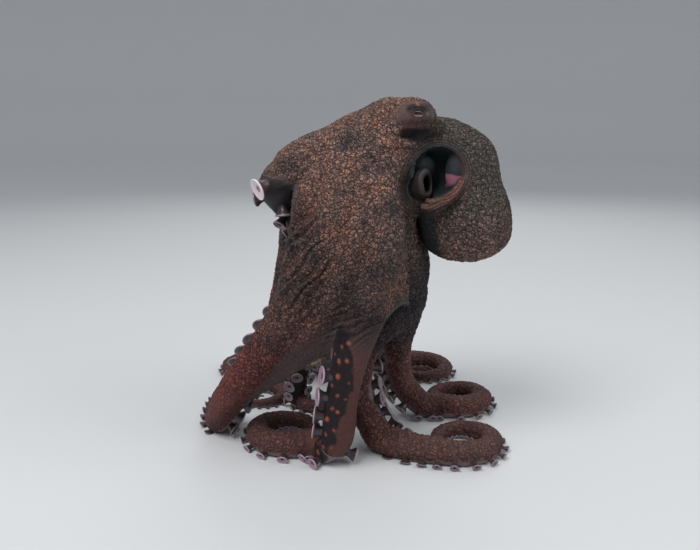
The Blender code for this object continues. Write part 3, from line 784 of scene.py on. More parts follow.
class Coat:
    """The look of some points of the skin: rgb, grain and crack strength, and fold height."""

    def __init__(self, **fields):
        vars(self).update(fields)

    def on(self, pick, painter, *extra):
        """Runs a painter on some of the points."""
        if not np.any(pick):
            return
        part = Coat(**{name: values[pick] for name, values in vars(self).items()})
        painter(part, *extra)
        for name in ("rgb", "grain", "fold", "crack"):
            getattr(self, name)[pick] = getattr(part, name)

    def tint(self, colour, share):
        self.rgb = mix(self.rgb, colour, share)

    def darken(self, share):
        self.rgb = self.rgb * (1 - share)[:, None]

    def calm(self, share, grain=0, crack=0, fold=0):
        """Takes away these parts of the relief, as far as share says."""
        self.grain = self.grain * (1 - grain * share)
        self.crack = self.crack * (1 - crack * share)
        self.fold = self.fold * (1 - fold * share)

    def raise_fold(self, height):
        self.fold = self.fold + height


def nearest_on_arm(arm, points):
    """Distance along the arm, and angle round it (0 is its back)."""
    samples = np.arange(0, arm.length, 3)
    s = samples[nearest(points, arm.point(samples))]
    centre, along, across, back = arm.frame(s)
    s = np.clip(s + ((points - centre) * along).sum(1), 0, arm.length)
    centre, along, across, back = arm.frame(s)
    off = points - centre
    return s, np.arctan2((off * across).sum(1), (off * back).sum(1))


def nearest_on_web(grid, points):
    """Place down the web (0 to 1), place across it, and the sheet's facing."""
    best = nearest(points, grid.reshape(-1, 3))
    off = points - grid.reshape(-1, 3)[best]
    places = []
    for axis, step in enumerate(divmod(best, grid.shape[1])):
        way = np.gradient(grid, axis=axis).reshape(-1, 3)[best]
        step = step + (off * way).sum(1) / np.maximum((way ** 2).sum(1), 1e-6)
        places.append(np.clip(step / (grid.shape[axis] - 1), 0, 1))
    return *places, sheet_normals(grid).reshape(-1, 3)[best]


def paint_arm(coat, name):
    """Pale undersides, soft rings across, and what marks arms l1, l2, l3 and the ventral pair, with
    painted shade on l1's curl.
    """
    arm, points, noise = arms[name], coat.points, coat.fine
    s, angle = nearest_on_arm(arm, points)
    share, around = s / arm.length, np.abs(angle)
    under = smooth(around + 0.12 * noise, 1.75, 2.15)
    if name == "l1":
        under = under * np.maximum(smooth(s, 52, 66), smooth(around, 2.35, 2.7))
    upper, far = 1 - under, smooth(share, 0.25, 0.6)
    coat.tint(LOWER, 0.75 * far)
    coat.tint(FAR_RED, 0.5 * smooth(share, 0.55, 0.95))
    coat.tint(UNDER_PALE, 0.7 * under)
    coat.calm(under, grain=0.9, crack=1, fold=0.7)
    coat.calm(far, grain=0.35)
    rings = waves(s / (5 + 9 * (1 - share)), 2 * noise)
    coat.raise_fold(0.22 * rings * upper * far)
    if name == "l2":
        coat.tint(RIDGE_RED, 0.65 * band(s, 170, 230, 300, 380) * upper)
        dark = smooth(s, 230, 300) * smooth(np.abs(angle - 1.2), 0.9, 0.2)
        coat.tint(BLOTCH, 0.4 * dark)
        coat.calm(smooth(s, 240, 300), grain=0.4)
    if name == "l3":
        bare = smooth(s + 7 * noise, 132, 160) * fall(s, 300, 340) * upper
        coat.tint(SMOOTH_RED, 0.85 * bare)
        coat.tint(DARK_WEB, 0.75 * band(s, 118, 138, 150, 178))
        coat.calm(bare, grain=0.8, crack=0.9, fold=0.6)
        # Black blotches with orange spots along the margin above the suckers.
        zone = band(s, 146, 156, 286, 300)
        ragged = around + 0.14 * noise + 0.30 * lattice_noise(points, 9, 8)
        coat.tint(BLOTCH, 0.93 * smooth(ragged, 0.82, 1.05) * fall(around, 2.35, 2.6) * zone)
        for pitch, at, phase, size in SPOT_ROWS:
            row = s / pitch + phase
            own = np.sin(17 * np.round(row) + 5 * phase)
            apart = np.hypot((row - np.round(row) + 0.13 * own) * pitch,
                             (around - at - 0.09 * own) * arm.width(s))
            spot = fall(apart + 0.9 * noise, size * 0.5, size * (1.2 + 0.25 * own))
            coat.tint(SPOT, (0.75 + 0.2 * own) * spot * zone)
            coat.raise_fold(0.5 * spot * zone)
    if name in ("l4", "r4"):
        dome = band(s, 50, 105, 170, 200)
        coat.tint(PURPLE_DARK, 0.9 * dome * upper)
        coat.grain = np.maximum(coat.grain, 0.9 * dome * upper)
        coat.raise_fold(0.8 * lattice_noise(points, 5, 12) * dome)
    if name == "l1":
        coat.tint(BLUE_GREY, 0.35 * band(s, 60, 85, 150, 200))
        # Painted shade on the underside of l1's curl and on its far part.
        coat.tint(CURL_UNDER_SHADE, 0.9 * under * smooth(s, 40, 56))
        coat.tint(CURL_SHADE, 0.6 * band(s, 96, 125, 260, 340))


def paint_web(coat, n):
    """Webs: pale and smooth inside, thin at the rim, and what marks those that the photo shows."""
    one, other, reach_1, reach_2 = WEBS[n][:4]
    pair, noise = one + other, coat.fine
    u, v, facing = nearest_on_web(web_grids[n], coat.points)
    inside = smooth(-(coat.normals * facing).sum(1) * web_sides[n], -0.2, 0.3)
    edge = (1 - u) * (reach_1 + (reach_2 - reach_1) * v)
    coat.tint(UNDER_PALE, 0.55 * inside)
    coat.calm(inside, grain=0.9, crack=1)
    rim = PURPLE_DARK if pair == "l2l3" else PALE_RIM
    coat.tint(rim, 0.6 * fall(edge + 1.5 * noise, 1.5, 4.5))
    coat.calm(fall(edge, 3, 9), grain=0.85)
    coat.raise_fold(0.35 * waves(v * 9, 2.5 * noise) * np.exp(-edge / 12))
    if pair == "l2l3":
        low = smooth(u, 0.62, 0.88)
        coat.tint(DARK_WEB, 0.85 * low * (1 - inside))
        coat.calm(low, grain=0.7, crack=0.8)
        coat.raise_fold(0.3 * waves(edge / 7, 2 * noise) * smooth(u, 0.7, 0.85))
        coat.tint(YELLOW_RIM, 0.6 * fall(edge, 2, 6) * band(v, 0.70, 0.76, 0.84, 0.9))
    if pair == "r1l1":
        # Painted shade, deeper towards arm l1.
        coat.tint(CURL_SHADE, 0.5 * v)
    if pair == "l1l2":
        wide = fall(edge + 2 * noise, 7, 14)
        coat.tint(GREEN_RIM, 0.75 * wide)
        coat.calm(wide, grain=0.75, crack=0.8)
    if pair == "l3l4":
        coat.tint(GREEN_RIM, 0.8 * fall(edge + 1.5 * noise, 2, 5))
        knob = fall(edge, 4, 9) * fall(v, 0.05, 0.16)
        coat.tint(KNOB_PINK, 0.6 * knob * (0.5 + 0.5 * np.sign(noise)))


def opening_reach(turn):
    """The lid opening's radius in each direction round the eye."""
    wide, above, below = LID_OPENING
    x, y = np.cos(turn) / wide, np.sin(turn) / np.where(np.sin(turn) > 0, above, below)
    return (np.abs(x) ** LID_POWER + np.abs(y) ** LID_POWER) ** (-1 / LID_POWER)


def paint_head(coat):
    """The eye mound, the painted shadow over dark skin under it and the folds round both, alike on
    both sides.
    """
    noise, left = coat.fine, coat.points.copy()
    left[:, 1] = -np.abs(left[:, 1])
    lateral = left[:, 1] < -HEAD_MIDDLE
    across, up, out = eye_places(left, 1)

    def patch(x, y, width, height):
        return ridge(np.hypot((across - x) / width, (up - y) / height), 1)

    near, front = smooth(out, -16, -4) * lateral, smooth(out, 4, 9) * lateral
    shadow = np.max([strength * blob(left, centre, radii, soft)
                     for centre, radii, soft, strength in EYE_SHADOWS], axis=0)
    shadow = shadow * lateral * smooth(-up + noise, 8, 12)
    nape = blob(left, (78, -36, 322), (10, 22, 13), 0.4)
    coat.tint(NAPE_OLIVE, 0.8 * nape * lateral)
    coat.calm(shadow, grain=0.55, crack=0.5)
    mound = fall(np.hypot((across + 1.5) / 20, up / 14.5) + 0.12 * noise, 0.62, 1.08) * near
    coat.tint(MOUND_RED, 0.85 * mound)
    # Painted light on the mound's top and upper left, painted shade on its right side.
    coat.tint(MOUND_LIGHT, 0.6 * mound * np.maximum(smooth(up, 7, 10), patch(-11, 3, 7, 5)))
    coat.tint(MOUND_SHADE, 0.7 * smooth(across, 4, 11) * mound)
    coat.tint(MOUND_LOW, 0.8 * smooth(-up, 3.5, 6) * mound)
    coat.calm(mound * (1 - 0.35 * smooth(-up, 4, 7)), grain=0.85, crack=0.9)
    coat.calm(mound, fold=0.55)
    ring = np.hypot(across / 22, up / 15.5)
    coat.raise_fold(0.3 * waves(ring * 5, 2.5 * noise) * ridge(ring - 1.15, 0.3) * near)
    # Around the opening: lids, brow and spots.
    reach = np.hypot(across, up) - opening_reach(np.arctan2(up, across))
    coat.tint(LID_GREY, 0.7 * ridge(reach - 1.2, 1.6) * front)
    arc = up - 5.6 + 0.022 * (across + 1) ** 2
    brow = ridge(arc, 2.9) * fall(np.abs(across + 1), 7, 11) * front
    coat.tint(BROW, 0.93 * brow)
    coat.tint(STREAK, 0.5 * patch(0.4, 9, 1.5, 2.2) * front)
    coat.tint(PALE_ORANGE, 0.22 * patch(8.6, 0, 1.8, 1.6) * front)
    coat.tint(SHADOW, 0.94 * shadow)
    coat.tint(FLANK_GREY, 0.35 * patch(14, 1, 4, 4.5) * near)
    groove = ridge(arc - 2.6, 1) * fall(np.abs(across), 7, 10) * front
    coat.raise_fold(0.5 * brow - 0.5 * groove)
    coat.raise_fold(0.16 * waves(reach / 1.7, noise) * ridge(reach - 3, 2.6) * front)


def rim_distance(points):
    """Distance outside the mantle opening, seen from its side."""
    flat, found = points[:, (0, 2)], None
    for centre, radii in POCKET:
        off = (flat - (centre[0], centre[2])) / (radii[0], radii[2])
        away = (np.sqrt((off ** 2).sum(1)) - 1) * radii[0]
        found = away if found is None else -np.logaddexp(-found / 2, -away / 2) * 2
    return found + 0.6


def rim_angle(points):
    return np.arctan2(points[:, 2] - OPENING_Z, points[:, 0] - OPENING_X)


def paint_rim(coat):
    """Folds and lip of the mantle opening, and what shows inside it, with painted shade inside."""
    points, tags, noise = coat.points, coat.tags, coat.fine
    x, y, z = points.T
    pocket, gill = tags == TAG_POCKET, tags == TAG_GILL
    outer = (np.abs(y) > OPENING_Y) & ~pocket & ~gill
    away = rim_distance(points)
    lower = band(rim_angle(points), -2.5, -2.1, -0.2, 0.9)
    near = np.exp(-np.maximum(away, 0) / 9) * fall(away, 18, 26) * outer
    coat.calm(fall(away, 2, 10) * outer, grain=0.8)
    coat.calm(fall(away, 3, 12) * outer, crack=0.9)
    wave = np.cos(TAU * (away - 1.2 + 0.5 * noise) / 3.6)
    coat.calm(near, fold=0.6)
    coat.raise_fold(0.62 * (1 - lower) * wave * near)
    coat.tint(RIM_GREY, 0.75 * fall(away, 4, 13) * outer * (1 - lower))
    # Painted shade in the troughs of the folds round the opening.
    coat.darken(0.38 * np.maximum(-wave, 0) * near * (1 - lower))
    coat.tint(LIP_RED, 0.6 * fall(away, 8, 14) * outer * lower)
    lip = (tags == TAG_LIP) & (np.abs(y) > OPENING_Y)
    crest, flat = np.zeros(lip.sum()), points[lip][:, (0, 2)]
    for line, thick, _ in LIPS:
        apart = flat[:, None] - spline(line, 60)[:, (0, 2)] - (0, 0.3 * thick)
        crest = np.maximum(crest, ridge(np.sqrt((apart ** 2).sum(2)).min(1), 0.6 * thick))
    coat.rgb[lip] = mix(LIP_RED * 0.55, LIP_BROWN, crest * (0.6 + 0.25 * noise[lip]))
    coat.grain[lip], coat.crack[lip], coat.fold[lip] = 0.45, 0, 0.5 * noise[lip]
    coat.tint(PALE_RIM, 0.6 * ridge(away - 0.8, 0.9) * smooth(62 - x, 0, 4) * outer)
    # Painted shade inside the opening, redder where its right wall is lit.
    lit = smooth(x[pocket], 90, 97) * smooth(np.abs(y[pocket]), 18, 34)
    coat.rgb[pocket] = mix(CAVITY_SHADE, LIP_RED, 0.85 * lit)
    # The flap is painted darker still, as deeper shade.
    flap = blob(np.abs(points) * (1, -1, 1), FLAP[0], (14, 16, 15)) > 0.5
    coat.rgb[pocket & flap] = FLAP_SHADE
    across, height = x[gill] - 92, z[gill]
    # The gill is grey in a band, with painted shade above and below it and pink beneath.
    wall = mix(CAVITY_SHADE, GILL_GREY, band(height, 279.5, 281.5, 292, 300))
    pink = fall(height + 0.12 * across, 278.8, 279.8) * smooth(height - 0.5 * across, 269, 272)
    coat.rgb[gill] = mix(wall, PINK, pink)
    coat.grain[pocket | gill], coat.crack[pocket | gill] = 0.04, 0
    coat.fold[pocket | gill] *= 0.5


def paint_mantle(coat):
    x, _, z = coat.points.T
    coat.rgb = mix(MANTLE_TOP, MANTLE_LOW, fall(z, 205, 262))
    coat.tint(BLUE_GREY, 0.4 * smooth(0.7 * coat.wide + 0.5 * coat.mid, -0.2, 0.6))
    coat.tint(DARK_WEB, 0.45 * smooth(coat.mid - 0.4 * coat.wide, 0, 0.8))
    # Painted shade in the hollow between the mantle and the arms.
    hollow_shade = fall(x - 0.25 * (255 - z), 70, 76) * smooth(x, 50, 60)
    hollow_shade = hollow_shade * fall(z, 256, 264)
    coat.tint(TEAL_SHADE, 0.9 * hollow_shade)
    coat.calm(hollow_shade, grain=0.6)


def paint(points, normals, tags):
    """The coat of the whole skin."""
    x, y, z = points.T
    wide, mid, fine = (lattice_noise(points, size, seed) for size, seed in NOISES)
    coat = Coat(points=points, normals=normals, tags=tags, wide=wide, mid=mid, fine=fine,
                rgb=mix(LOWER, MIDDLE, smooth(z, 90, 190)), grain=np.ones(len(points)),
                crack=np.ones(len(points)), fold=0.45 * mid + 0.3 * fine)
    coat.tint(UPPER, smooth(z, 190, 285))
    coat.tint(PATCH_GREY, 0.5 * smooth(0.8 * wide + 0.5 * mid, -0.05, 0.75))
    coat.tint(PATCH_DARK, 0.45 * smooth(mid + 0.4 * fine, 0.15, 0.9))
    coat.tint(PATCH_WARM, 0.45 * smooth(-mid - 0.5 * wide, 0.1, 0.9))
    # The tent's right side is greyer, and its left margin ruddy.
    coat.tint(OLIVE, 0.5 * smooth(x, 20, 60) * (y < 0) * (z < 290))
    coat.tint(LOWER, 0.55 * blob(points, (-41, -58, 243), (10, 30, 14), 0.5))
    for n, name in enumerate(arms):
        coat.on(tags == TAG_ARM + n, paint_arm, name)
    for n in range(len(WEBS)):
        coat.on(tags == TAG_WEB + n, paint_web, n)
    for way_x, way_z, pitch, shake, centre, radii, height, dark in WRINKLES:
        wave = waves((way_x * x + way_z * z) / pitch + shake * mid)
        share = blob(points, centre, radii, 0.5) * (y < 0)
        coat.raise_fold(height * wave * share)
        # Painted shade in the wrinkles' troughs.
        coat.darken(dark * np.maximum(-wave, 0) * share)
    coat.on(tags == TAG_MANTLE, paint_mantle)
    paint_rim(coat)
    coat.on((tags != TAG_POCKET) & (tags != TAG_GILL), paint_head)
    return coat


def fold_lines(coat):
    """Phase (radians) and strength of the fine folds round the opening, on tent and low web."""
    points, tags = coat.points, coat.tags
    x, y, z = points.T
    near_side = smooth(-y, 15, 25) + smooth(y, 15, 25)
    away, angle = rim_distance(points), rim_angle(points)
    phase = TAU * (away + 0.5 * coat.fine) / 2.6
    upper = 1 - band(angle, -2.6, -2.2, -0.9, -0.2)
    strength = ridge(away - 5, 6) * smooth(away, 0.5, 2) * near_side * (0.35 + 0.65 * upper)
    strength[(tags == TAG_POCKET) | (tags == TAG_GILL)] = 0
    strength[tags == TAG_LIP] = 0.7
    for way_x, way_z, pitch, shake, centre, radii, most in FINE_LINES:
        share = blob(points, centre, radii, 0.6) * (y < 0)
        own = TAU * ((way_x * x + way_z * z) / pitch + shake * coat.mid + 0.12 * coat.fine)
        phase = np.where(share > strength, own, phase)
        strength = np.maximum(strength, most * share)
    return phase, strength


# ---- materials

# The granules' own numbers, in metres, shared by their colour and their geometry.
GRANULE_SCALE = 380
GRANULE_WARP = 260, 0.0036
CLUMP_SCALE = 185
CLUMP_WARP = 120, 0.010
GRANULE_HEIGHT = 0.0012
CRACK_DEPTH = 0.00055
BUMP_DEPTH = 0.0010
# Skin tone on the granule tops with painted light, and in the grooves with painted shade.
TOP_TONE_AND_LIGHT = (1.46, 1.17, 1.03)
GROOVE_TONE_AND_SHADE = (0.11, 0.16, 0.24)


class Nodes:
    """A node tree, and short ways to add to it."""

    def __init__(self, tree):
        self.tree = tree

    def plug(self, socket, value):
        if isinstance(value, bpy.types.NodeSocket):
            self.tree.links.new(value, socket)
        else:
            socket.default_value = value

    def add(self, kind, inputs, **settings):
        """A new node, with settings on it and its inputs linked or set."""
        made = self.tree.nodes.new(kind)
        for key, value in settings.items():
            setattr(made, key, value)
        for key, value in inputs.items():
            self.plug(made.inputs[key], value)
        return made

    def maths(self, operation, *values, clamp=False):
        return self.add("ShaderNodeMath", dict(enumerate(values)), operation=operation,
                        use_clamp=clamp).outputs[0]

    def ramp(self, value, factor, offset):
        return self.maths("ADD", self.maths("MULTIPLY", value, factor), offset)

    def vector(self, operation, first, second):
        return self.add("ShaderNodeVectorMath", {0: first, 1: second},
                        operation=operation).outputs[0]

    def scaled(self, vector, amount):
        return self.add("ShaderNodeVectorMath", {0: vector, "Scale": amount},
                        operation="SCALE").outputs[0]

    def blend(self, share, first, second):
        return self.add("ShaderNodeMix", {0: share, 6: first, 7: second},
                        data_type="RGBA").outputs[2]

    def noise(self, place, scale, detail, output="Fac"):
        inputs = {"Vector": place, "Scale": scale, "Detail": detail}
        return self.add("ShaderNodeTexNoise", inputs).outputs[output]

    def cells(self, place, scale, feature="DISTANCE_TO_EDGE", output="Distance"):
        return self.add("ShaderNodeTexVoronoi", {"Vector": place, "Scale": scale},
                        feature=feature).outputs[output]

    def warped(self, place, scale, amount):
        """A place shaken by noise, so that cells lose their straight sides."""
        centred = self.vector("SUBTRACT", self.noise(place, scale, 2, "Color"), (0.5, 0.5, 0.5))
        return self.vector("ADD", place, self.scaled(centred, amount))

    def granules(self, place):
        """(granule height 0 to 1, a colour per granule, crack depth 0 to 1) at this place."""
        moved = self.warped(place, *GRANULE_WARP)
        cell = self.cells(moved, GRANULE_SCALE, "F1", "Color")
        edge = self.maths("MULTIPLY", self.cells(moved, GRANULE_SCALE), 2.6, clamp=True)
        clump = self.cells(self.warped(place, *CLUMP_WARP), CLUMP_SCALE)
        gap = self.maths("MULTIPLY", clump, 5, clamp=True)
        return (self.maths("POWER", edge, 0.6), cell,
                self.maths("SUBTRACT", 1, gap, clamp=True))

    def painted(self, name, output="Fac"):
        return self.add("ShaderNodeAttribute", {}, attribute_name=name).outputs[output]

    def bump(self, height, depth, strength):
        inputs = {"Height": height, "Distance": depth, "Strength": strength}
        return self.add("ShaderNodeBump", inputs).outputs[0]


def principled(name, **inputs):
    """(material, its nodes, a function that sets or links the shader's inputs)."""
    made = bpy.data.materials.new(name)
    made.use_nodes = True
    nodes = Nodes(made.node_tree)
    shader = made.node_tree.nodes["Principled BSDF"]

    def feed(**values):
        for key, value in values.items():
            nodes.plug(shader.inputs[key.replace("_", " ")], value)

    feed(**inputs)
    return made, nodes, feed


def skin_material():
    made, nodes, feed = principled("octopus_skin", Specular_IOR_Level=0.22)
    maths = nodes.maths
    place = nodes.add("ShaderNodeTexCoord", {}).outputs["Object"]
    height, cell, gap = nodes.granules(place)
    zone = nodes.painted("zone", "Color")
    grain, crack, lines = (nodes.painted(name) for name in ("grain", "crack", "lines"))
    # Granule tops are lighter and warmer, the grooves between them nearly black: the skin's own
    # pattern, with painted light on the tops and painted shade in the grooves and in the cracks
    # between clumps.
    tone = nodes.add("ShaderNodeSeparateColor", {0: cell}).outputs[0]
    top_tone_and_light = nodes.vector("MULTIPLY", nodes.scaled(zone, nodes.ramp(tone, 0.9, 0.75)), TOP_TONE_AND_LIGHT)
    groove = nodes.vector("MULTIPLY", zone, GROOVE_TONE_AND_SHADE)
    top = maths("MULTIPLY", maths("SUBTRACT", height, 0.16), 2.5, clamp=True)
    grainy = nodes.blend(top, groove, top_tone_and_light)
    cracked = maths("MULTIPLY", maths("MULTIPLY", maths("POWER", gap, 1.3), 0.92), crack)
    grainy = nodes.blend(cracked, grainy, groove)
    mottle = nodes.noise(place, 260, 4)
    plain = nodes.scaled(zone, nodes.ramp(mottle, 0.5, 0.72))
    # Painted shade darkens the fine folds in their troughs.
    sine = maths("SINE", nodes.painted("phase"))
    wave = maths("MULTIPLY", maths("ADD", sine, 1), 0.5)
    trough_shade = maths("POWER", maths("SUBTRACT", 1, wave, clamp=True), 2)
    trough_shade = maths("MULTIPLY", maths("MULTIPLY", trough_shade, lines), 0.8)
    relief = maths("MULTIPLY", height, grain)
    relief = maths("SUBTRACT", relief, maths("MULTIPLY", maths("MULTIPLY", gap, crack), 0.6))
    relief = maths("ADD", relief, maths("MULTIPLY", nodes.noise(place, 1100, 3), 0.22))
    relief = maths("ADD", relief, maths("MULTIPLY", maths("MULTIPLY", wave, lines), 0.9))
    feed(Base_Color=nodes.blend(trough_shade, nodes.blend(grain, plain, grainy), groove),
         Roughness=nodes.ramp(nodes.noise(place, 400, 3), 0.3, 0.5),
         Normal=nodes.bump(relief, BUMP_DEPTH, 0.9))
    return made


def smooth_flesh(name, roughness, coat, specular):
    """Smooth skin whose colour is painted on its points."""
    made, nodes, feed = principled(name, Specular_IOR_Level=specular, Coat_Weight=coat,
                                   Coat_Roughness=0.12, Roughness=roughness)
    mottle = nodes.noise(nodes.add("ShaderNodeTexCoord", {}).outputs["Object"], 700, 3)
    amount = nodes.ramp(mottle, 0.3, 0.85)
    feed(Base_Color=nodes.scaled(nodes.painted("zone", "Color"), amount),
         Normal=nodes.bump(mottle, 0.0002, 0.4))
    return made


def grow_granules(obj):
    """Moves the skin's points out by its granules and folds, in real geometry."""
    tree = bpy.data.node_groups.new("grow_granules", "GeometryNodeTree")
    for way in ("INPUT", "OUTPUT"):
        tree.interface.new_socket("Geometry", in_out=way, socket_type="NodeSocketGeometry")
    nodes = Nodes(tree)
    maths = nodes.maths
    source = nodes.add("NodeGroupInput", {}).outputs[0]
    place = nodes.add("GeometryNodeInputPosition", {}).outputs[0]
    normal = nodes.add("GeometryNodeInputNormal", {}).outputs[0]
    height, _, gap = nodes.granules(place)
    grain, fold, crack = (
        nodes.add("GeometryNodeInputNamedAttribute", {"Name": name}, data_type="FLOAT")
        .outputs["Attribute"] for name in ("grain", "fold", "crack"))
    raised = maths("MULTIPLY", maths("SUBTRACT", height, 0.5),
                   maths("MULTIPLY", grain, GRANULE_HEIGHT))
    sunk = maths("MULTIPLY", gap, maths("MULTIPLY", crack, CRACK_DEPTH))
    offset = maths("ADD", maths("SUBTRACT", raised, sunk), maths("MULTIPLY", fold, MM))
    inputs = {"Geometry": source, "Offset": nodes.scaled(normal, offset)}
    nodes.add("NodeGroupOutput", {0: nodes.add("GeometryNodeSetPosition", inputs).outputs[0]})
    obj.modifiers.new("grow", "NODES").node_group = tree
    bpy.context.view_layer.update()
    evaluated = obj.evaluated_get(bpy.context.evaluated_depsgraph_get())
    grown = bpy.data.meshes.new_from_object(evaluated)
    obj.modifiers.clear()
    obj.data = grown
    bpy.data.node_groups.remove(tree)


# ---- the pieces


def lid_patch(field, side):
    """Fine skin over an eye mound, with the lids' opening: (points, quads)."""
    right, above, out = eye_frame(side)
    turn, lids = turns(180), len(LID_INSETS)
    opening = opening_reach(turn)
    outer = np.hypot(np.cos(turn) / LID_PATCH[0], np.sin(turn) / LID_PATCH[1]) ** -1
    share = np.concatenate([[0] * lids, np.linspace(0, 1, LID_RINGS + 1)[1:] ** 1.25])
    inset = np.array(LID_INSETS + LID_INSETS[-1:] * LID_RINGS)[:, None]
    reach = opening + inset + share[:, None] * (outer - opening - LID_INSETS[-1])
    x, y = (np.cos(turn) * reach)[..., None], (np.sin(turn) * reach)[..., None]
    flat = EYE * (1, side, 1) + x * right + y * above
    # How far out the field's surface stands over each point, by halving.
    low, high = (np.full(reach.shape, limit) for limit in LID_SEARCH)
    for _ in range(LID_HALVINGS):
        middle = (low + high) / 2
        value = field.sample((flat + middle[..., None] * out).reshape(-1, 3)).reshape(reach.shape)
        low, high = np.where(value < 0, middle, low), np.where(value < 0, high, middle)
    rise = (low + high) / 2
    depth = float(rise[lids].mean()) + LID_LIFT - EYE_SINK - EYE_RADIUS
    eye_depths[side] = depth
    for _ in range(3):
        rise = (np.roll(rise, 1, 1) + rise * 2 + np.roll(rise, -1, 1)) / 4
        rise[lids + 1:-1] = (rise[lids:-2] + rise[lids + 1:-1] * 2 + rise[lids + 2:]) / 4
    # The innermost rings turn in to meet the eyeball.
    eye = depth + np.sqrt(np.maximum(EYE_RADIUS ** 2 - reach ** 2, 1))
    drop = np.array(LID_DROPS)[:, None]
    rise[:lids] = (rise[lids] + 0.15) * (1 - drop) + (eye[:lids] - 0.5) * drop
    lip = ridge(np.arange(LID_LIP_RINGS), 0.5 * LID_LIP_RINGS)[:, None]
    rise[lids:lids + LID_LIP_RINGS] += LID_LIP * lip
    rise -= (LID_TUCK * smooth(share, 0.84, 1))[:, None]
    rings = flat + rise[..., None] * out
    return rings.reshape(-1, 3), ring_quads(*reach.shape, "acdb" if side > 0 else "bdca")


def lower_under_lids(field):
    """Sinks the coarse skin under each lid patch, and opens it for the eyeball."""
    for side in SIDES:
        centre = EYE * (1, side, 1)
        low = np.floor((centre - 30) / VOXEL).astype(int) - field.base
        high = np.ceil((centre + 30) / VOXEL).astype(int) - field.base
        where = tuple(slice(a, b) for a, b in zip(low, np.minimum(high, field.phi.shape)))
        places = np.stack(np.broadcast_arrays(*field.places(where)), -1)
        across, up, out = eye_places(places.reshape(-1, 3), side)
        patch = np.hypot(across / LID_PATCH[0], up / LID_PATCH[1])
        sink = PATCH_SINK * fall(patch, 0.74, 0.90)
        sink = sink + EYE_WELL * fall(np.hypot(across, up), 5.5, 9)
        sink = sink * smooth(out, 5, 9)
        field.phi[where] += sink.reshape(places.shape[:3]).astype(np.float32)


def build_skin():
    field = body_field()
    patches = [lid_patch(field, side) for side in SIDES]
    lower_under_lids(field)
    points, quads = field.mesh()
    tags = field.tags_at(points)
    for patch_points, patch_quads in patches:
        quads = np.concatenate([quads, patch_quads + len(points)])
        points = np.concatenate([points, patch_points])
        tags = np.concatenate([tags, np.full(len(patch_points), TAG_EYE, np.uint8)])
    obj = mesh_object("skin", world(points), quads, skin_material())
    normals = np.empty(points.size, np.float32)
    obj.data.vertex_normals.foreach_get("vector", normals)
    coat = paint(points, normals.reshape(-1, 3).astype(float), tags)
    phase, lines = fold_lines(coat)
    set_zone(obj.data, np.clip(coat.rgb * CAST, 0, 1))
    for name, values in (("grain", np.clip(coat.grain, 0, 1)), ("fold", coat.fold),
                         ("crack", np.clip(coat.crack, 0, 1)), ("phase", phase),
                         ("lines", lines)):
        set_float(obj.data, name, values)
    grow_granules(obj)
    # No granule or fold may pass below the floor.
    grown = np.empty(len(obj.data.vertices) * 3, np.float32)
    obj.data.vertices.foreach_get("co", grown)
    grown[2::3] = np.maximum(grown[2::3], 0)
    obj.data.vertices.foreach_set("co", grown)
    obj.data.update()
    print("skin", len(obj.data.vertices), "points")
    return obj


# Suckers: where along the arm the largest sits, its diameter, and where the first one is. On the
# other arms the first is just inside the shorter web, as a share of its reach.
SUCKERS = {"l1": (78, 22, 70), "l2": (190, 19, 176), "l3": (182, 19, 188)}
OTHER_SUCKERS = (120, 18)
OTHER_START = 0.85
SUCKER_END = 14
SUCKER_STEP = 0.56
SMALLEST_STEP = 1.6
SUCKER_FLOOR = 0.35
# How far suckers lean out from the arm's middle (degrees), stand off it and are shaken, then how
# much more they lean and stand off, and shrink, where the arm lies on the floor.
SUCKER_SPLAY, SUCKER_OFFSET, SUCKER_SHAKE = 36, 0.46, 0.12
FLOOR_SPLAY, FLOOR_OFFSET, FLOOR_SHRINK = 38, 0.10, 0.25
# Diameters above which a sucker has more sides, and the finer profile.
LARGE, MEDIUM = 13, 7
# On l1 the first sucker faces the camera and the next hangs down. Those beyond are smaller.
L1_FIRST, L1_SECOND = 78, 90
L1_FACINGS = (-0.77, -0.50, -0.38), (0.1, -0.15, -0.98)
# Sucker profile: rise in arm half-widths, radius as a share, and its tone (an index below).
SUCKER_PROFILE = [
    (0, 0.60, 0), (0.30, 0.52, 0), (0.52, 0.54, 0), (0.70, 0.72, 0), (0.82, 0.92, 0),
    (0.885, 1, 2), (0.92, 0.985, 2), (0.925, 0.93, 2), (0.90, 0.84, 1), (0.875, 0.60, 1),
    (0.865, 0.36, 1), (0.83, 0.26, 3), (0.74, 0.20, 3), (0.70, 0.02, 3),
]
# Tones of the stalk, the face, the rim and the hole.
SUCKER_TONES = {
    "l1": [linear(84, 66, 68), linear(214, 194, 202), linear(232, 222, 226),
           linear(150, 120, 128)],
    "l2": [linear(48, 38, 42), linear(84, 68, 76), linear(122, 106, 114), linear(40, 30, 34)],
    "l3": [linear(58, 46, 52), linear(142, 114, 134), linear(168, 146, 160), linear(60, 46, 54)],
    "": [linear(62, 50, 52), linear(116, 98, 106), linear(140, 124, 132), linear(52, 42, 46)],
}


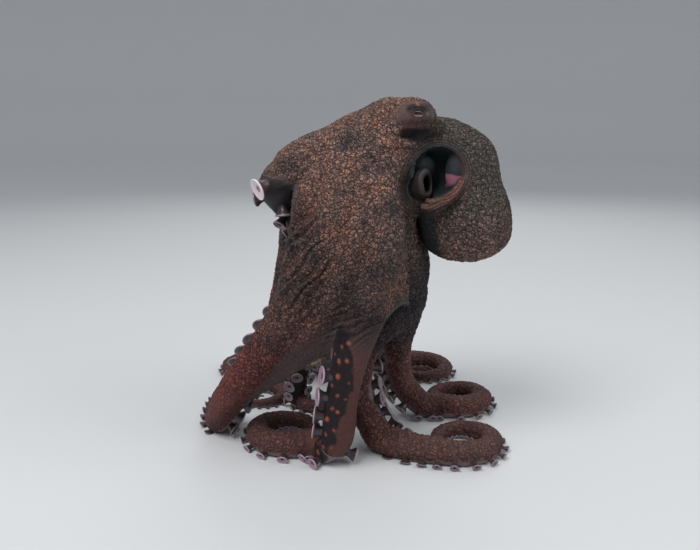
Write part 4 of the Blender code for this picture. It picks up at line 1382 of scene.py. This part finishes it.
def sucker(name, s, side, full, shaky):
    """One sucker's rings of points (ring, round it, 3) and the colours of its rings."""
    arm, on_l1 = arms[name], name == "l1"
    width = float(arm.width(s))
    size = full * (0.45 + 0.55 * float(smooth(s, 20, 75))) * shaky.uniform(0.95, 1.05)
    if on_l1 and s > L1_FIRST:
        size *= 0.72 - 0.1 * float(smooth(s, 85, 100)) + 0.3 * float(smooth(s, 150, 200))
    centre, along, across, back = (v[0] for v in arm.frame([s]))
    low = float(fall(centre[2] - (width * ORAL_DEPTH - FLAT_DEPTH), 1, 12))
    splay = math.radians(SUCKER_SPLAY + FLOOR_SPLAY * low)
    size *= 1 - FLOOR_SHRINK * low
    facing = unit(-back * math.cos(splay) + across * side * math.sin(splay)
                  + along * shaky.uniform(-SUCKER_SHAKE, SUCKER_SHAKE))
    if on_l1 and s < L1_SECOND:
        facing = unit(L1_FACINGS[0 if s < L1_FIRST else 1])
    root = centre + across * side * width * (SUCKER_OFFSET + FLOOR_OFFSET * low)
    root = root - back * width * (0.35 + 0.05 * low)
    first = unit(np.cross(facing, along))
    second = np.cross(facing, first)
    turn = turns(28 if size > LARGE else 18 if size > MEDIUM else 11)
    profile = SUCKER_PROFILE if size > MEDIUM else SUCKER_PROFILE[1::2] + SUCKER_PROFILE[-1:]
    rise, radius, tone = (np.array(column) for column in zip(*profile))
    wave = 1 + sum(0.02 * np.sin(k * turn + shaky.uniform(0, 6)) for k in (3, 2))
    ring = (np.cos(turn)[:, None] * first + np.sin(turn)[:, None] * second) * wave[:, None]
    points = root + (rise * width * 0.98)[:, None, None] * facing
    points = points + (radius * size / 2)[:, None, None] * ring
    # A sucker on the floor is squashed, not cut.
    z = points[..., 2]
    if z.min() < SUCKER_FLOOR and root[2] > 0.8:
        squash = (root[2] - SUCKER_FLOOR) / (root[2] - z.min())
        z[:] = np.where(z < root[2], root[2] - (root[2] - z) * squash, z)
    z[:] = np.maximum(z, SUCKER_FLOOR)
    plain, tones = SUCKER_TONES[""], SUCKER_TONES.get(name, SUCKER_TONES[""])
    hidden = float(smooth(s, 66, 88)) if on_l1 and s > 72 else 0
    return points, [tones[k] * (1 - hidden) + plain[k] * hidden for k in tone]


def build_suckers():
    points, quads, rgb = [], [], []
    count = 0
    for name, arm in arms.items():
        shaky = np.random.default_rng(2 + 7 * ord(name[0]) + int(name[1]))
        inside = min(row[2 + row.index(name)] for row in WEBS if name in row[:2])
        largest, diameter, s = SUCKERS.get(name, (*OTHER_SUCKERS, OTHER_START * inside))
        side = 1
        while s < arm.length - SUCKER_END:
            full = diameter * float(arm.width(s)) / float(arm.width(largest))
            rings, colours = sucker(name, s, side, full, shaky)
            rows, sides = rings.shape[:2]
            quads.append(ring_quads(rows, sides) + count)
            points.append(rings.reshape(-1, 3))
            rgb.append(np.repeat(colours, sides, 0))
            count += rows * sides
            s += max(full * SUCKER_STEP, SMALLEST_STEP)
            side = -side
    material = smooth_flesh("sucker_skin", 0.38, 0.15, 0.5)
    obj = mesh_object("suckers", world(np.concatenate(points)), np.concatenate(quads), material)
    set_zone(obj.data, np.concatenate(rgb))
    print("suckers", len(obj.data.polygons), "faces")
    return obj


def build_eye(side):
    """An eyeball with the slit pupil and the two pale bands of the iris."""
    tilt = np.concatenate([np.linspace(0.004, 0.62, 90), np.linspace(0.66, math.pi - 0.05, 24)])
    tilt, turn = tilt[:, None], turns(200)
    across = EYE_RADIUS * np.sin(tilt) * np.cos(turn)
    up = EYE_RADIUS * np.sin(tilt) * np.sin(turn)
    out = EYE_RADIUS * np.cos(tilt) * np.ones(200)
    tipped = up - 0.35 + 0.05 * (across + 1)
    slit = (np.abs(across / SLIT[0]) ** 4 + np.abs(tipped / SLIT[1]) ** 4) ** 0.25
    front = out > 0
    pupil = fall(slit, 0.88, 1.06) * front
    stretched = np.stack([across * 0.7, up * 3, out], -1).reshape(-1, 3)
    streak = lattice_noise(stretched, 1.3, 5).reshape(across.shape)
    upper = smooth(tipped, 0, 0.5)[..., None]
    iris = IRIS_UPPER * upper + IRIS_LOWER * (1 - upper)
    shade = (1 + 0.22 * streak) * (1 - 0.25 * smooth(np.hypot(across, up), 3.4, 5))
    shade = shade * (1 - 0.35 * ridge(slit - 1.12, 0.10) * front)
    pupil_share = pupil[..., None]
    rgb = iris * shade[..., None] * (1 - pupil_share) + PUPIL * pupil_share
    # The pupil is sunk a little, and the part behind the lids is smaller.
    scale = 1 - PUPIL_DEPTH * pupil - IRIS_RELIEF * streak * front
    scale = scale - HIDDEN_SHRINK * smooth(tilt, 0.46, 0.9)
    points = EYE * (1, side, 1) + eye_axes(side)[2] * eye_depths[side]
    for reach, axis in zip((across, up, out), eye_frame(side)):
        points = points + (reach * scale)[..., None] * axis
    quads = ring_quads(*across.shape, "acdb" if side > 0 else "bdca")
    name = "eyeball_left" if side > 0 else "eyeball_right"
    obj = mesh_object(name, world(points.reshape(-1, 3)), quads, eye_material)
    set_zone(obj.data, np.clip(rgb, 0, 1).reshape(-1, 3))
    return obj


def build_funnel():
    """The siphon: a soft thick tube, cut slantwise, its lip rolled in on the right."""
    axis = unit(FUNNEL_AXIS)
    flat = unit(np.cross((0, 0, 1), axis))
    tall = np.cross(axis, flat)
    turn = turns(96)
    cos, sin = np.cos(turn), np.sin(turn)
    slant = 3.4 * cos + 1.2 * np.cos(2 * turn) + 0.7 * np.sin(3 * turn + 0.6)
    rings, rgb = [], []
    for back, half_flat, half_tall, shift, dark in spline(FUNNEL, 70):
        fade = float(fall(back, 6, 16))
        fold = 1 + 0.02 * np.sin(5 * turn + 0.15 * back)
        ring = FUNNEL_MOUTH - axis * (back + slant[:, None] * fade)
        ring = ring + flat * ((cos * half_flat * fold)[:, None] + shift)
        rings.append(ring + tall * (sin * half_tall * fold)[:, None])
        lip = 0.4 * float(ridge(back - 0.3, 1.3))
        # Painted shade deepens into the bore.
        tone = SIPHON * (1 - dark) + SIPHON_BORE_SHADE * dark
        rgb.append(np.repeat((tone * (1 - lip) + SIPHON_LIP * lip)[None], len(turn), 0))
    obj = mesh_object("siphon", world(np.concatenate(rings)), ring_quads(len(rings), len(turn)),
                      smooth_flesh("funnel_skin", 0.55, 0, 0.3))
    set_zone(obj.data, np.concatenate(rgb))
    return obj


# ---- the studio, in metres

FLOOR_SIDES = 96
FLOOR_DROP = 0.0002
# The floor's radius and height: a disc that turns up into a low wall far out.
FLOOR_PROFILE = [(0.02, 0), (1.5, 0), (3, 0), (4.2, 0.1), (5, 0.5), (5.5, 1.2),
                 (5.8, 2.4), (6, 4.5)]
# Lights: place, target, size and power.
LIGHTS = {
    "key": ((-0.9, -1.3, 2), (0, 0, 0.18), 1.2, 42),
    "fill": ((1.6, -0.8, 1.1), (0, 0, 0.18), 1.4, 14),
    "back": ((0.3, 1.7, 1.6), (0, 0, 0.2), 1.6, 11),
}
SKY = (0.80, 0.84, 0.88, 1)
SKY_STRENGTH = 0.55
LENS = 36
CAMERA_BACK = 665
CAMERA_HEIGHT = 0.322
CAMERA_TILT = math.radians(78)


def build_floor():
    made, _, _ = principled("studio_floor", Base_Color=(0.62, 0.63, 0.64, 1), Roughness=0.75)
    cos, sin = np.cos(turns(FLOOR_SIDES)), np.sin(turns(FLOOR_SIDES))
    rings = [np.stack([r * cos, r * sin, np.full(FLOOR_SIDES, h - FLOOR_DROP)], -1)
             for r, h in FLOOR_PROFILE]
    quads = ring_quads(len(rings), FLOOR_SIDES, "acdb")
    mesh_object("floor", np.concatenate(rings), quads[:, ::-1], made)


def build_studio():
    scene = bpy.context.scene
    scene.world = bpy.data.worlds.new("studio")
    scene.world.use_nodes = True
    background = scene.world.node_tree.nodes["Background"]
    background.inputs["Color"].default_value = SKY
    background.inputs["Strength"].default_value = SKY_STRENGTH
    for name, (place, target, size, power) in LIGHTS.items():
        light = bpy.data.lights.new(name, "AREA")
        light.size, light.energy = size, power
        obj = bpy.data.objects.new(name, light)
        scene.collection.objects.link(obj)
        obj.location = place
        away = Vector(target) - Vector(place)
        obj.rotation_euler = away.to_track_quat("-Z", "Y").to_euler()
    camera = bpy.data.cameras.new("camera")
    camera.lens, camera.sensor_width = LENS, 36
    camera.clip_start, camera.clip_end = 0.01, 50
    obj = bpy.data.objects.new("camera", camera)
    scene.collection.objects.link(obj)
    obj.location = (SHIFT[0] * MM, (SHIFT[1] - CAMERA_BACK) * MM, CAMERA_HEIGHT)
    obj.rotation_euler = (CAMERA_TILT, 0, 0)
    scene.camera = obj
    scene.view_settings.view_transform = "Standard"


def web_side(grid):
    """1 if the sheet's own facing points away from the animal's axis, else -1."""
    row, column = grid.shape[0] // 2, grid.shape[1] // 2
    middle, facing = grid[row, column], sheet_normals(grid)[row, column]
    fallen = CROWN[2] - middle[2]
    axis_point = np.array([CROWN[0] - 0.19 * fallen, 0.33 * fallen, middle[2]])
    return 1 if facing @ (middle - axis_point) > 0 else -1


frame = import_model()
eye_depths = {}
arms = {name: Arm(*spec) for name, spec in ARMS.items()}
web_grids = [web_surface(*web) for web in WEBS]
web_sides = [web_side(grid) for grid in web_grids]

skin = build_skin()
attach(skin, "root")
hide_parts(*[n for n in frame["nodes"] if not n.startswith("eye_") and n != "funnel"])
suckers = build_suckers()
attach(suckers, "root")
eye_material = smooth_flesh("eye", 0.3, 0.0, 0.22)
for side, node_name in ((1.0, "eye_left"), (-1.0, "eye_right")):
    eyeball = build_eye(side)
    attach(eyeball, "root")
    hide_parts(node_name)
siphon = build_funnel()
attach(siphon, "root")
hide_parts("funnel")
build_floor()
build_studio()
